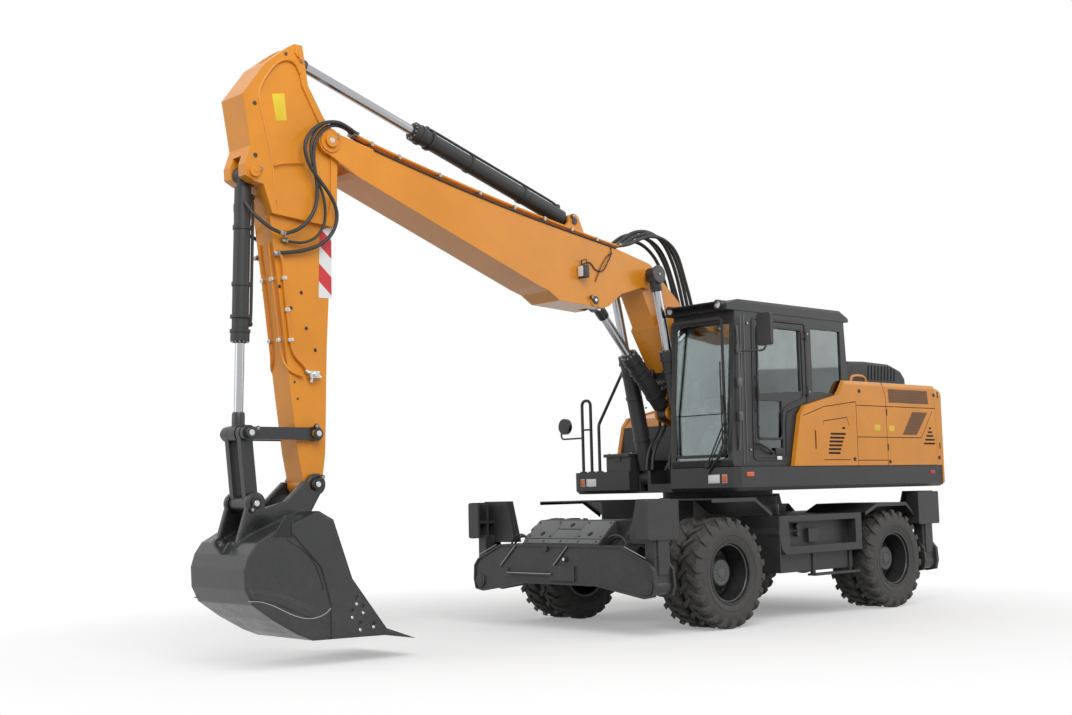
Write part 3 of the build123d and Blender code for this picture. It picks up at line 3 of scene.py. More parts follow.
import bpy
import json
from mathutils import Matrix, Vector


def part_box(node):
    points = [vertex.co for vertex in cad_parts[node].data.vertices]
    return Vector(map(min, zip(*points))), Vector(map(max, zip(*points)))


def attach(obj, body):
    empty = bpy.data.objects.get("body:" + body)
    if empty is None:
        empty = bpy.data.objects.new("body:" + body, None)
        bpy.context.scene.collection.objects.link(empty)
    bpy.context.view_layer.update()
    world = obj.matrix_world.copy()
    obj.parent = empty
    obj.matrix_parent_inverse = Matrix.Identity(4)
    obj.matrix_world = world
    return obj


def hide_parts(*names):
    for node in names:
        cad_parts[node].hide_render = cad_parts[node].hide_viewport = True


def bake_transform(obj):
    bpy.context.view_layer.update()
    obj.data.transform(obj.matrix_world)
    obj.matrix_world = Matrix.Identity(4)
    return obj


bl_info = {
    "name": "Wheeled excavator dressing",
    "version": (1, 1, 0),
    "blender": (4, 5, 0),
    "location": "View3D > Sidebar > Excavator",
    "description": "Adds finishes, hoses, tread and small fittings to the packed wheeled excavator",
    "category": "Object",
}

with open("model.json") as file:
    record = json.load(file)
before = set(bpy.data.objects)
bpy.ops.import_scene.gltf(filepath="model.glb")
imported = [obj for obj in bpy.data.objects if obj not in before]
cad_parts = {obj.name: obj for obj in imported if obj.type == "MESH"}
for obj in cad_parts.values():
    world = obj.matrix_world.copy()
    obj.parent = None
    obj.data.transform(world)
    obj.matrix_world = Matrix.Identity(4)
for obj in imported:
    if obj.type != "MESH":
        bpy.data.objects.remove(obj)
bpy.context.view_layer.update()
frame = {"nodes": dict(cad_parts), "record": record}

import json
import math

import bmesh
import bpy
from mathutils import Matrix, Vector

SLEW_X = -1.650
LEFT = Vector((0, 1, 0))
UP = Vector((0, 0, 1))
ORIGIN = Vector((0, 0, 0))
# a direction that no axis of the model shares, to square others against
SLANT = Vector((0.37, 0.21, 0.9))


def at(u, z, y=0.0):
    """A point given in millimetres forward of the slew axis, above the ground and to the left."""
    return Vector((SLEW_X + u / 1000, y / 1000, z / 1000))


def placed(point):
    """The forward, height and left in millimetres of a point, which undoes at()."""
    return (point.x - SLEW_X) * 1000, point.z * 1000, point.y * 1000


# pins of the working equipment, forward of the slew axis and above the ground
BOOM_FOOT = (240, 1800)
BOOM_JOINT = (1240, 3520)
BOOM_TIP = (5152, 4326)
ARM_TIP = (5300, 1444)
BUCKET_FOOT = (5871, 3971)
ARM_CYLINDER_FOOT = (2170, 4005)
ARM_CYLINDER_EYE = (5433, 5040)
BOOM_CYLINDER_FOOT = (770, 1450)
ADJUST_FOOT = (800, 2130)
ADJUST_EYE = (2024, 3211)
LINK_ARM = (5294, 1859)
LINK_OUTER = (5927, 1860)
LINK_BUCKET = (5872, 1302)
# side faces, to the left of the middle plane
ARM_FACE = 120
BUCKET_FACE = 412
HEAD_FACE = 164
POCKET_FACE = 150
COVER_FACE = 1255
WHEELS = {
    "front_left": (1320, 1), "front_right": (1320, -1), "rear_left": (-1480, 1), "rear_right": (-1480, -1),
}
AXLE_Z = 527


# ---------------------------------------------------------------- settings


class ExcavatorPaint(bpy.types.PropertyGroup):
    amber: bpy.props.FloatVectorProperty(
        name="Amber", description="Gloss colour of booms, arm, covers and counterweight",
        subtype="COLOR", size=3, min=0, max=1, default=(0.81, 0.298, 0.019),
    )
    charcoal: bpy.props.FloatVectorProperty(
        name="Charcoal", description="Colour of chassis, deck, cab and legs",
        subtype="COLOR", size=3, min=0, max=1, default=(0.036, 0.037, 0.038),
    )
    bucket: bpy.props.FloatVectorProperty(
        name="Bucket black", description="Colour of the bucket and its links",
        subtype="COLOR", size=3, min=0, max=1, default=(0.016, 0.017, 0.018),
    )
    rubber: bpy.props.FloatVectorProperty(
        name="Rubber", description="Colour of the tyres",
        subtype="COLOR", size=3, min=0, max=1, default=(0.043, 0.042, 0.040),
    )
    edge: bpy.props.FloatProperty(
        name="Edge radius", description="Radius at which painted edges catch the light",
        subtype="DISTANCE", unit="LENGTH", min=0, max=0.05, default=0.006,
    )


class ExcavatorTread(bpy.types.PropertyGroup):
    lugs: bpy.props.IntProperty(
        name="Lugs", description="Number of lugs on each shoulder of a tyre", min=8, max=40, default=22,
    )
    depth: bpy.props.FloatProperty(
        name="Tread depth", description="Height of the lugs over the carcass",
        subtype="DISTANCE", unit="LENGTH", min=0.005, max=0.04, default=0.026,
    )


class ExcavatorHoses(bpy.types.PropertyGroup):
    bore: bpy.props.FloatProperty(
        name="Main hose radius", description="Outer radius of the large hydraulic hoses",
        subtype="DISTANCE", unit="LENGTH", min=0.005, max=0.04, default=0.019,
    )
    pipe: bpy.props.FloatProperty(
        name="Pipe radius", description="Outer radius of the steel pipes along booms and arm",
        subtype="DISTANCE", unit="LENGTH", min=0.003, max=0.03, default=0.013,
    )


class ExcavatorStudio(bpy.types.PropertyGroup):
    key_power: bpy.props.FloatProperty(
        name="Key light", description="Power of the large light over the front left",
        unit="POWER", min=0, default=1050,
    )
    fill_power: bpy.props.FloatProperty(
        name="Fill light", description="Power of the lights from the rear and the far side",
        unit="POWER", min=0, default=240,
    )
    sky: bpy.props.FloatProperty(
        name="Sky", description="Strength of the even white surround", min=0, max=2, default=0.46,
    )


# ---------------------------------------------------------------- node helpers

# share of a colour that its darker clouds keep
CLOUD_SHARE = 0.88


def add_node(tree, kind, **values):
    """Adds a node; a value that is a socket is linked, any other is set."""
    made = tree.nodes.new(kind)
    for key, value in values.items():
        if key.startswith("set_"):
            setattr(made, key[4:], value)
            continue
        numbered = key[0] == "i" and key[1:].isdigit()
        spot = made.inputs[int(key[1:]) if numbered else key.replace("_", " ")]
        if isinstance(value, bpy.types.NodeSocket):
            tree.links.new(value, spot)
        else:
            spot.default_value = value
    return made


def fresh_material(name):
    """A new material and its empty node tree."""
    material = bpy.data.materials.new(name)
    material.use_nodes = True
    tree = material.node_tree
    tree.nodes.clear()
    return material, tree


def close_material(tree, shader):
    """Ends a material with a shader."""
    output = tree.nodes.new("ShaderNodeOutputMaterial")
    tree.links.new(shader.outputs[0], output.inputs["Surface"])


def object_place(tree):
    """The point's place in its object's own coordinates."""
    return tree.nodes.new("ShaderNodeTexCoord").outputs["Object"]


def noise(tree, scale, detail, rough):
    """Soft noise between zero and one that stays with the object."""
    return add_node(
        tree, "ShaderNodeTexNoise", Vector=object_place(tree), Scale=scale, Detail=detail, Roughness=rough
    ).outputs["Fac"]


def ramp(tree, value, low, high, to_low=0.0, to_high=1.0):
    """Straight change of a value from one range to another, held at its ends."""
    return add_node(
        tree, "ShaderNodeMapRange", Value=value, From_Min=low, From_Max=high, To_Min=to_low, To_Max=to_high,
    ).outputs["Result"]


def maths(tree, operation, first, second, clamp=False):
    """The result of a sum on two values or sockets."""
    node = add_node(tree, "ShaderNodeMath", set_operation=operation, set_use_clamp=clamp, i0=first, i1=second)
    return node.outputs[0]


def blend_colours(tree, share, first, second):
    """A share between two colours."""
    made = add_node(tree, "ShaderNodeMix", set_data_type="RGBA")
    for spot, value in ((0, share), (6, first), (7, second)):
        if isinstance(value, bpy.types.NodeSocket):
            tree.links.new(value, made.inputs[spot])
        elif spot == 0:
            made.inputs[0].default_value = value
        else:
            made.inputs[spot].default_value = (*value, 1.0)
    return made.outputs[2]


def mix_shaders(tree, share, first, second):
    """A share between two shaders."""
    mixed = tree.nodes.new("ShaderNodeMixShader")
    for spot, value in enumerate((share, first.outputs[0], second.outputs[0])):
        tree.links.new(value, mixed.inputs[spot])
    return mixed


def darker(colour, share=CLOUD_SHARE):
    """A colour turned down to a share of itself."""
    return tuple(part * share for part in colour)


def height_of(tree, place=None):
    """The height of the object's own coordinates, or of a given place."""
    return add_node(tree, "ShaderNodeSeparateXYZ", Vector=place or object_place(tree)).outputs["Z"]


# ---------------------------------------------------------------- finishes

ROAD_DUST = (0.20, 0.18, 0.155)
TYRE_DUST = (0.118, 0.110, 0.101)
CASTING_DIRT = (0.13, 0.115, 0.10)
# pale grey for worn edges, which also stands in as a painted edge highlight
WORN_AND_LIT_EDGE = (0.20, 0.20, 0.20)
# cosines of the bend at which an edge turns pale, as worn paint and partly as a painted highlight
WORN_AND_LIT_FROM, WORN_AND_LIT_TO = 0.93, 0.80
# wave texture scale that gives one flute a metre, and how far apart in metres a lens's flutes are
FLUTE_SCALE = 0.314
FLUTE_PITCH = 0.008


def relief(tree, height, strength, distance, radius=0.0):
    """A normal with a bump in it, over edges rounded to a radius where one is given."""
    bump = add_node(tree, "ShaderNodeBump", Strength=strength, Distance=distance, Height=height)
    if radius > 0:
        shape = add_node(tree, "ShaderNodeBevel", set_samples=4, Radius=radius)
        tree.links.new(shape.outputs["Normal"], bump.inputs["Normal"])
    return bump.outputs["Normal"]


def coat_with(tree, tone, rough, **more):
    """Ends a material with one surface shader."""
    close_material(tree, add_node(tree, "ShaderNodeBsdfPrincipled", Base_Color=tone, Roughness=rough, **more))


def painted(name, colour, gloss, dust, edge, coat=0.0, dust_height=1.6, worn=0.0, sheen=0.35):
    """Sprayed paint: faint orange peel, cloudy tone, dust that thickens towards the ground, soft edges, and where
    asked pale edges that are worn paint and partly a painted highlight.
    """
    material, tree = fresh_material(name)
    cloud = noise(tree, 1.7, 5.0, 0.6)
    speck = noise(tree, 38.0, 4.0, 0.7)
    tone = blend_colours(tree, ramp(tree, cloud, 0.35, 0.68), darker(colour), colour)
    low = ramp(tree, height_of(tree), 0.0, dust_height, 1.0, 0.12)
    patch = ramp(tree, noise(tree, 6.0, 6.0, 0.65), 0.42, 0.72)
    amount = maths(tree, "MULTIPLY", maths(tree, "MULTIPLY", low, patch), dust)
    tone = blend_colours(tree, amount, tone, ROAD_DUST)
    # pale edges: worn paint, and partly a painted highlight where edges catch the light
    if worn > 0:
        true_face = tree.nodes.new("ShaderNodeNewGeometry").outputs["Normal"]
        shape = add_node(tree, "ShaderNodeBevel", set_samples=4, Radius=edge).outputs["Normal"]
        bend = add_node(tree, "ShaderNodeVectorMath", set_operation="DOT_PRODUCT", i0=true_face, i1=shape)
        worn_and_lit = ramp(tree, bend.outputs["Value"], WORN_AND_LIT_FROM, WORN_AND_LIT_TO)
        worn_and_lit = maths(tree, "MULTIPLY", worn_and_lit, ramp(tree, speck, 0.42, 0.6, 0.0, worn))
        tone = blend_colours(tree, worn_and_lit, tone, WORN_AND_LIT_EDGE)
    rough = maths(tree, "ADD", ramp(tree, speck, 0.3, 0.75, gloss - 0.05, gloss + 0.08), amount, True)
    peel = noise(tree, 160.0, 2.0, 0.5)
    coat_with(
        tree, tone, rough, Normal=relief(tree, peel, 0.06, 0.002, edge), Coat_Weight=coat, Coat_Roughness=0.10,
        Specular_IOR_Level=sheen,
    )
    return material


def machined(name, colour, rough, grain=180.0):
    """Bare or plated metal with fine lines round it."""
    material, tree = fresh_material(name)
    fine = noise(tree, grain, 3.0, 0.6)
    coat_with(tree, (*colour, 1), ramp(tree, fine, 0.3, 0.7, max(rough - 0.04, 0.03), rough + 0.06), Metallic=1.0)
    return material


def cast(name, colour):
    """Rough casting under a thin coat of dark paint, with road dirt in random patches."""
    material, tree = fresh_material(name)
    grit = noise(tree, 70.0, 6.0, 0.7)
    dirt = ramp(tree, noise(tree, 9.0, 5.0, 0.6), 0.45, 0.7, 0.0, 0.4)
    tone = blend_colours(tree, dirt, colour, CASTING_DIRT)
    coat_with(tree, tone, 0.62, Normal=relief(tree, grit, 0.35, 0.003, 0.008))
    return material


def rubber(name, colour, dust, rough=0.62, grain_size=220.0):
    """Rubber: dull, slightly grey-brown where dust sits in its grain."""
    material, tree = fresh_material(name)
    patch = ramp(tree, noise(tree, 14.0, 6.0, 0.65), 0.4, 0.75, 0.0, dust)
    tone = blend_colours(tree, patch, colour, TYRE_DUST)
    grain = noise(tree, grain_size, 3.0, 0.6)
    spread = ramp(tree, patch, 0.0, dust, rough, rough + 0.2)
    coat_with(tree, tone, spread, Normal=relief(tree, grain, 0.2, 0.001, 0.005))
    return material


def moulded(name, colour, rough=0.5):
    """Grained plastic."""
    material, tree = fresh_material(name)
    grain = noise(tree, 300.0, 2.0, 0.5)
    cloud = noise(tree, 5.0, 3.0, 0.5)
    tone = blend_colours(tree, ramp(tree, cloud, 0.3, 0.7), darker(colour), colour)
    spread = ramp(tree, grain, 0.3, 0.7, max(rough - 0.05, 0.04), rough + 0.08)
    coat_with(tree, tone, spread, Normal=relief(tree, grain, 0.2, 0.001))
    return material


def ribbed_lens(name, colour):
    """Moulded lamp lens with fine upright flutes, painted darker in the flutes' grooves as shade."""
    material, tree = fresh_material(name)
    wave = add_node(
        tree, "ShaderNodeTexWave", Vector=object_place(tree), Scale=FLUTE_SCALE / FLUTE_PITCH,
        set_bands_direction="Y", Distortion=0.0,
    ).outputs["Fac"]
    # painted shade: the lens is darker where its flutes dip
    tone = blend_colours(tree, wave, darker(colour, 0.72), colour)
    coat_with(tree, tone, ramp(tree, wave, 0, 1, 0.08, 0.16), Normal=relief(tree, wave, 0.5, 0.002))
    return material


def pane(name, tint, clear):
    """Window glass: mostly see-through, with a soft sheen and a faint film."""
    material, tree = fresh_material(name)
    film = ramp(tree, noise(tree, 3.0, 4.0, 0.6), 0.4, 0.8, 0.0, 0.05)
    through = add_node(tree, "ShaderNodeBsdfTransparent", Color=(*tint, 1))
    shine = add_node(
        tree, "ShaderNodeBsdfPrincipled", Base_Color=(0.78, 0.86, 0.86, 1), Metallic=1.0, Roughness=0.03
    )
    sheen = add_node(tree, "ShaderNodeFresnel", IOR=1.45).outputs[0]
    share = maths(tree, "ADD", maths(tree, "ADD", sheen, film, True), 1 - clear, True)
    close_material(tree, mix_shaders(tree, share, through, shine))
    return material


def striped(name, first, second, pitch, lean):
    """Reflective tape in slanting bands of two colours."""
    material, tree = fresh_material(name)
    place = object_place(tree)
    turned = add_node(tree, "ShaderNodeMapping", Vector=place, Rotation=(0, lean, 0))
    phase = maths(tree, "FRACT", maths(tree, "DIVIDE", height_of(tree, turned.outputs[0]), pitch), 0.0)
    tone = blend_colours(tree, maths(tree, "GREATER_THAN", phase, 0.5), first, second)
    cells = add_node(tree, "ShaderNodeTexVoronoi", Vector=place, Scale=260.0).outputs["Distance"]
    coat_with(tree, tone, ramp(tree, cells, 0.0, 0.7, 0.25, 0.42))
    return material


FINISHES = {}


class EXCAVATOR_OT_finishes(bpy.types.Operator):
    """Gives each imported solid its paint, metal, rubber or glass"""

    bl_idname = "excavator.finishes"
    bl_label = "Finishes"

    def execute(self, context):
        paint = context.scene.excavator_paint
        charcoal, black = tuple(paint.charcoal), tuple(paint.bucket)
        FINISHES.update(
            amber_paint=painted("amber_gloss", tuple(paint.amber), 0.34, 0.08, paint.edge, 0.22, 1.4),
            grey_paint=painted("charcoal_paint", charcoal, 0.42, 0.22, paint.edge, 0.0, 1.4),
            black_paint=painted("bucket_black", black, 0.30, 0.16, paint.edge, 0.1, 1.2, 0.5),
            rod_chrome=machined("rod_chrome", (0.42, 0.43, 0.45), 0.15),
            cast_metal=cast("axle_casting", (0.040, 0.040, 0.042)),
            tyre_rubber=rubber("tyre_rubber", tuple(paint.rubber), 0.55),
            tinted_glass=pane("cab_glass", (0.88, 0.93, 0.93), 0.90),
            cab_plastic=moulded("cab_plastic", (0.10, 0.105, 0.11)),
            lamp_lens=ribbed_lens("clear_lens", (0.80, 0.81, 0.82)),
            hose=rubber("hose_rubber", (0.020, 0.020, 0.021), 0.12, 0.42, 500.0),
            seal=rubber("window_seal", (0.012, 0.012, 0.013), 0.1, 0.5, 400.0),
            steel=machined("bright_steel", (0.60, 0.61, 0.62), 0.26),
            zinc=machined("zinc_fittings", (0.36, 0.34, 0.30), 0.34, 90.0),
            mesh_brown=painted("mesh_bronze", (0.235, 0.100, 0.030), 0.45, 0.0, 0.002),
            # near-black that paints the shade inside holes, seams and slots
            pit=moulded("painted_hole_shade", (0.008, 0.007, 0.006), 0.8),
            stripe=striped("red_white_tape", (0.62, 0.035, 0.04), (0.80, 0.80, 0.80), 0.235, 0.72),
            stripe_far=striped("red_white_tape_far", (0.62, 0.035, 0.04), (0.80, 0.80, 0.80), 0.235, -0.72),
            label=moulded("yellow_plate", (0.85, 0.62, 0.03), 0.35),
            white_lens=ribbed_lens("white_lens", (0.86, 0.87, 0.88)),
            orange_lens=ribbed_lens("orange_lens", (0.80, 0.13, 0.02)),
            red_lens=ribbed_lens("red_lens", (0.55, 0.02, 0.02)),
            mirror=machined("mirror_face", (0.85, 0.87, 0.88), 0.05),
            trim=moulded("cab_trim", (0.13, 0.135, 0.14), 0.55),
            casing=moulded("black_casing", (0.030, 0.031, 0.032), 0.45),
            screen=moulded("display_screen", (0.01, 0.012, 0.015), 0.12),
            rim_paint=painted("rim_charcoal", (0.024, 0.025, 0.026), 0.34, 0.15, 0.004, 0.1, 0.9),
            hub_paint=painted("hub_grey", (0.120, 0.126, 0.124), 0.40, 0.2, 0.004, 0.0, 0.9),
            lock_ring=painted("lock_ring_grey", (0.070, 0.071, 0.072), 0.30, 0.15, 0.004, 0.1, 0.9, 0.0, 0.6),
            plate_grey=painted("tread_plate_grey", (0.14, 0.145, 0.15), 0.45, 0.2, 0.003, 0.0, 1.4),
            hood_paint=painted("hood_charcoal", (0.034, 0.034, 0.036), 0.48, 0.0, 0.004),
            frame_paint=painted("frame_charcoal", charcoal, 0.40, 0.2, paint.edge, 0.0, 1.4, 0.55, 0.4),
            bucket_paint=painted("bucket_shell_black", black, 0.28, 0.14, 0.035, 0.15, 1.2, 0.0, 0.6),
            stud=cast("dark_studs", (0.050, 0.036, 0.026)),
            link_paint=painted("link_black", (0.022, 0.023, 0.025), 0.32, 0.1, 0.006, 0.1, 1.2, 0.4, 0.5),
            # pale polished metal for a bucket weld and the beams' edges: worn metal, and partly a painted highlight
            worn_edge=machined("polished_weld_and_highlight", (0.34, 0.34, 0.35), 0.40),
        )
        by_node = {
            "engine_hood": "hood_paint", "side_links": "link_paint", "rocker": "link_paint", "bucket": "bucket_paint",
            "chassis_frame": "frame_paint", "side_boxes": "frame_paint", "fenders": "frame_paint",
        }
        by_node.update({name: "frame_paint" for name in frame["nodes"] if name.startswith("leg_")})
        by_node.update({f"rim_{wheel}": "rim_paint" for wheel in WHEELS})
        slots = {row["node"]: row["material_slot"] for row in frame["record"]["subparts"]}
        for name, solid in frame["nodes"].items():
            if name not in slots:
                raise RuntimeError(f"no finish is named for {name}")
            solid.data.materials.clear()
            solid.data.materials.append(FINISHES[by_node.get(name, slots[name])])
        return {"FINISHED"}


# ---------------------------------------------------------------- shape helpers

# the bend between two faces, in radians, above which their edge is rounded off
SHARP_ANGLE = 0.45
# cuts that a tube's quarter round gets, and steps between two points of a bend
TUBE_ROUNDNESS = 3
BEND_STEPS = 7


def round_off(bm, corners, bevel, segments=2):
    """Rounds the sharp edges that meet the given corners; the radius is in millimetres."""
    if bevel <= 0:
        return
    edges = {edge for corner in corners for edge in corner.link_edges}
    sharp = [edge for edge in edges if len(edge.link_faces) == 2 and edge.calc_face_angle(0) > SHARP_ANGLE]
    bmesh.ops.bevel(
        bm, geom=sharp, offset=bevel / 1000, segments=segments, profile=0.6, affect="EDGES", clamp_overlap=True
    )


def add_block(bm, low, high, bevel):
    """A block between two corners, each given as forward, height and left."""
    first, second = at(*low), at(*high)
    size = second - first
    scale = Matrix.Diagonal((abs(size.x), abs(size.y), abs(size.z), 1))
    made = bmesh.ops.create_cube(bm, size=1.0, matrix=Matrix.Translation((first + second) / 2) @ scale)
    round_off(bm, made["verts"], bevel)


PLANES = {
    "side": lambda a, b, depth: at(a, b, depth),
    "front": lambda a, b, depth: at(depth, b, a),
    "top": lambda a, b, depth: at(a, depth, b),
}


def add_plate(bm, outline, start, end, bevel=0.0, plane="side"):
    """A plate with an outline in one plane, between two distances across it."""
    put = PLANES[plane]
    near = [bm.verts.new(put(a, b, start)) for a, b in outline]
    far = [bm.verts.new(put(a, b, end)) for a, b in outline]
    faces = [bm.faces.new(near), bm.faces.new(list(reversed(far)))]
    for number in range(len(outline)):
        after = (number + 1) % len(outline)
        faces.append(bm.faces.new((near[after], near[number], far[number], far[after])))
    bmesh.ops.recalc_face_normals(bm, faces=faces)
    round_off(bm, near + far, bevel)


def square_to(axis):
    """An axis at unit length and two more directions square to it and to each other."""
    axis = Vector(axis).normalized()
    across = axis.cross(SLANT).normalized()
    return axis, across, axis.cross(across)


def add_turned(bm, profile, centre, axis, steps, closed=False):
    """A turned form: its profile is (distance along the axis, radius) in millimetres."""
    axis, across, upward = square_to(axis)
    rings = []
    for along, radius in profile:
        middle = centre + axis * (along / 1000)
        if radius <= 0:
            rings.append([bm.verts.new(middle)])
            continue
        ring = []
        for step in range(steps):
            turn = 2 * math.pi * step / steps
            ring.append(bm.verts.new(middle + (across * math.cos(turn) + upward * math.sin(turn)) * (radius / 1000)))
        rings.append(ring)
    pairs = list(zip(rings, rings[1:]))
    if closed:
        pairs.append((rings[-1], rings[0]))
    for first, second in pairs:
        for step in range(steps):
            after = (step + 1) % steps
            if len(first) == 1 and len(second) == 1:
                break
            if len(first) == 1:
                bm.faces.new((first[0], second[step], second[after]))
            elif len(second) == 1:
                bm.faces.new((first[step], first[after], second[0]))
            else:
                bm.faces.new((first[step], first[after], second[after], second[step]))


def add_disc(bm, centre, axis, radius, thickness, bevel, steps=28):
    """A round boss with a softened rim, standing on its centre along the axis."""
    profile = [(0, 0), (0, radius), (thickness - bevel, radius), (thickness, radius - bevel), (thickness, 0)]
    add_turned(bm, profile, centre, axis, steps)


def add_tube(bm, points, radius, bent=True):
    """A hose, pipe or bar through a short list of points, each forward, height and left."""
    curve = bpy.data.curves.new("route", "CURVE")
    curve.dimensions = "3D"
    spline = curve.splines.new("NURBS" if bent else "POLY")
    spline.points.add(len(points) - 1)
    for spot, point in zip(spline.points, points):
        spot.co = (*at(*point), 1)
    if bent:
        spline.order_u = min(4, len(points))
        spline.use_endpoint_u = True
        spline.resolution_u = BEND_STEPS
    curve.bevel_depth = radius / 1000
    curve.bevel_resolution = TUBE_ROUNDNESS
    curve.use_fill_caps = True
    holder = bpy.data.objects.new("route", curve)
    bpy.context.collection.objects.link(holder)
    bpy.context.view_layer.update()
    mesh = bpy.data.meshes.new_from_object(holder.evaluated_get(bpy.context.evaluated_depsgraph_get()))
    bm.from_mesh(mesh)
    bpy.data.objects.remove(holder)
    bpy.data.curves.remove(curve)
    bpy.data.meshes.remove(mesh)


def finish_mesh(name, bm, finish, sharp=35):
    """Turns a mesh's faces outward, smooths it up to an angle in degrees and gives it its finish."""
    bmesh.ops.recalc_face_normals(bm, faces=bm.faces)
    mesh = bpy.data.meshes.new(name)
    bm.to_mesh(mesh)
    bm.free()
    mesh.shade_smooth()
    mesh.set_sharp_from_angle(angle=math.radians(sharp))
    mesh.materials.append(FINISHES[finish])
    made = bpy.data.objects.new(name, mesh)
    bpy.context.collection.objects.link(made)
    return made


def piece(name, bm, body, finish, stands_for=(), sharp=35):
    """Closes a mesh, gives it its finish and sets it on its body."""
    made = finish_mesh(name, bm, finish, sharp)
    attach(made, body)
    if stands_for:
        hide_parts(*stands_for)


# degrees between faces above which a bending hose shows a crease
HOSE_SHARP = 60


def bridge(name, bm, finish):
    """A hose set that runs between two bodies, from one point to another, fixed in place on neither."""
    made = finish_mesh(name, bm, finish, HOSE_SHARP)
    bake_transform(made)


def copies_tree():
    """Sets a shape on every place, turned to the place's own facing and direction, and paints it."""
    if "set_out_copies" in bpy.data.node_groups:
        return bpy.data.node_groups["set_out_copies"]
    tree = bpy.data.node_groups.new("set_out_copies", "GeometryNodeTree")
    for name, kind in (
        ("Places", "NodeSocketGeometry"), ("Shape", "NodeSocketObject"), ("Finish", "NodeSocketMaterial"),
    ):
        tree.interface.new_socket(name, in_out="INPUT", socket_type=kind)
    tree.interface.new_socket("Copies", in_out="OUTPUT", socket_type="NodeSocketGeometry")
    given = tree.nodes.new("NodeGroupInput").outputs
    shape = add_node(tree, "GeometryNodeObjectInfo", Object=given["Shape"]).outputs["Geometry"]
    turn = None
    for name, axis, pivot in (("facing", "Z", "AUTO"), ("along", "X", "Z")):
        wanted = add_node(tree, "GeometryNodeInputNamedAttribute", set_data_type="FLOAT_VECTOR", Name=name)
        aimed = add_node(
            tree, "FunctionNodeAlignRotationToVector", set_axis=axis, set_pivot_axis=pivot,
            Vector=wanted.outputs["Attribute"],
        )
        if turn is not None:
            tree.links.new(turn, aimed.inputs["Rotation"])
        turn = aimed.outputs["Rotation"]
    copies = add_node(
        tree, "GeometryNodeInstanceOnPoints", Points=given["Places"], Instance=shape, Rotation=turn
    ).outputs["Instances"]
    real = add_node(tree, "GeometryNodeRealizeInstances", Geometry=copies).outputs["Geometry"]
    dressed = add_node(tree, "GeometryNodeSetMaterial", Geometry=real, Material=given["Finish"]).outputs["Geometry"]
    tree.links.new(dressed, tree.nodes.new("NodeGroupOutput").inputs["Copies"])
    return tree


def set_out(name, shape, places, body, finish):
    """Copies one shape to many places, each a point, the way it faces and the way its length runs."""
    pattern = finish_mesh(f"{name}_pattern", shape, finish)
    mesh = bpy.data.meshes.new(name)
    mesh.from_pydata([place[0] for place in places], [], [])
    for number, label in ((1, "facing"), (2, "along")):
        stored = mesh.attributes.new(label, "FLOAT_VECTOR", "POINT")
        stored.data.foreach_set("vector", [part for place in places for part in Vector(place[number])])
    made = bpy.data.objects.new(name, mesh)
    bpy.context.collection.objects.link(made)
    tree = copies_tree()
    modifier = made.modifiers.new("copies", "NODES")
    modifier.node_group = tree
    for label, value in (("Shape", pattern), ("Finish", FINISHES[finish])):
        modifier[tree.interface.items_tree[label].identifier] = value
    bpy.context.view_layer.update()
    plain = bpy.data.meshes.new_from_object(made.evaluated_get(bpy.context.evaluated_depsgraph_get()))
    made.modifiers.clear()
    made.data = plain
    bpy.data.meshes.remove(mesh)
    bpy.data.objects.remove(pattern)
    if not plain.polygons:
        raise RuntimeError(f"{name} came out empty")
    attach(made, body)


def bolt_shape(radius, height, washer=True):
    """A hexagon head on its washer, standing up along Z."""
    bm = bmesh.new()
    if washer:
        add_turned(bm, [(0, 0), (0, radius * 1.35), (height * 0.2, radius * 1.35), (height * 0.2, 0)], ORIGIN, UP, 16)
    profile = [(0, 0), (0, radius), (height * 0.86, radius), (height, radius * 0.86), (height, 0)]
    add_turned(bm, profile, ORIGIN, UP, 6)
    return bm


def sides_of(spots, face, along=(1, 0, 0)):
    """Places at the same spots of the left and right side faces."""
    return [(at(u, z, hand * face), LEFT * hand, along) for hand in (1, -1) for u, z in spots]


def add_tubes(bm, points, radius, bent=True):
    """A tube on the left and its mirror image on the right."""
    for hand in (1, -1):
        add_tube(bm, [(u, z, hand * y) for u, z, y in points], radius, bent)


def add_discs(bm, pin, face, radius, thickness, bevel=2.0):
    """A boss on the left side face and one on the right."""
    for hand in (1, -1):
        add_disc(bm, at(*pin, hand * face), LEFT * hand, radius, thickness, bevel)


def add_plates(bm, outline, start, end, bevel=0.0):
    """A plate on the left side face and its mirror image on the right."""
    for hand in (1, -1):
        add_plate(bm, outline, hand * start, hand * end, bevel)


def ring_places(centre, axis, radius, count, start=0.0):
    """Places round a circle, facing along its axis."""
    axis, across, upward = square_to(axis)
    places = []
    for number in range(count):
        turn = start + 2 * math.pi * number / count
        out = across * math.cos(turn) + upward * math.sin(turn)
        places.append((centre + out * (radius / 1000), axis, out))
    return places


# ---------------------------------------------------------------- tyres and wheels

TYRE_PAIR = (1116, 846)
TYRE_RADIUS = 527
# tread depth in metres at which the bars reach the radii listed
FULL_TREAD = 0.0260563
CARCASS = [
    # across the tyre from its middle, radius
    (-70, 300), (-95, 297), (-108, 306), (-113, 322), (-119, 342), (-124, 385), (-124, 412), (-118, 450),
    (-108, 478), (-88, 495), (-45, 502), (0, 504),
]
LUG = [
    # from the middle outwards: across at the foot and at the top, radius of both, angle, half width
    (2, 490, 2, 527, 0.000, 21),
    (52, 490, 52, 527, 0.070, 25),
    (92, 486, 94, 525, 0.136, 30),
    (106, 470, 117, 513, 0.158, 32),
    (112, 452, 124, 490, 0.166, 31),
    (116, 424, 123, 444, 0.170, 25),
]


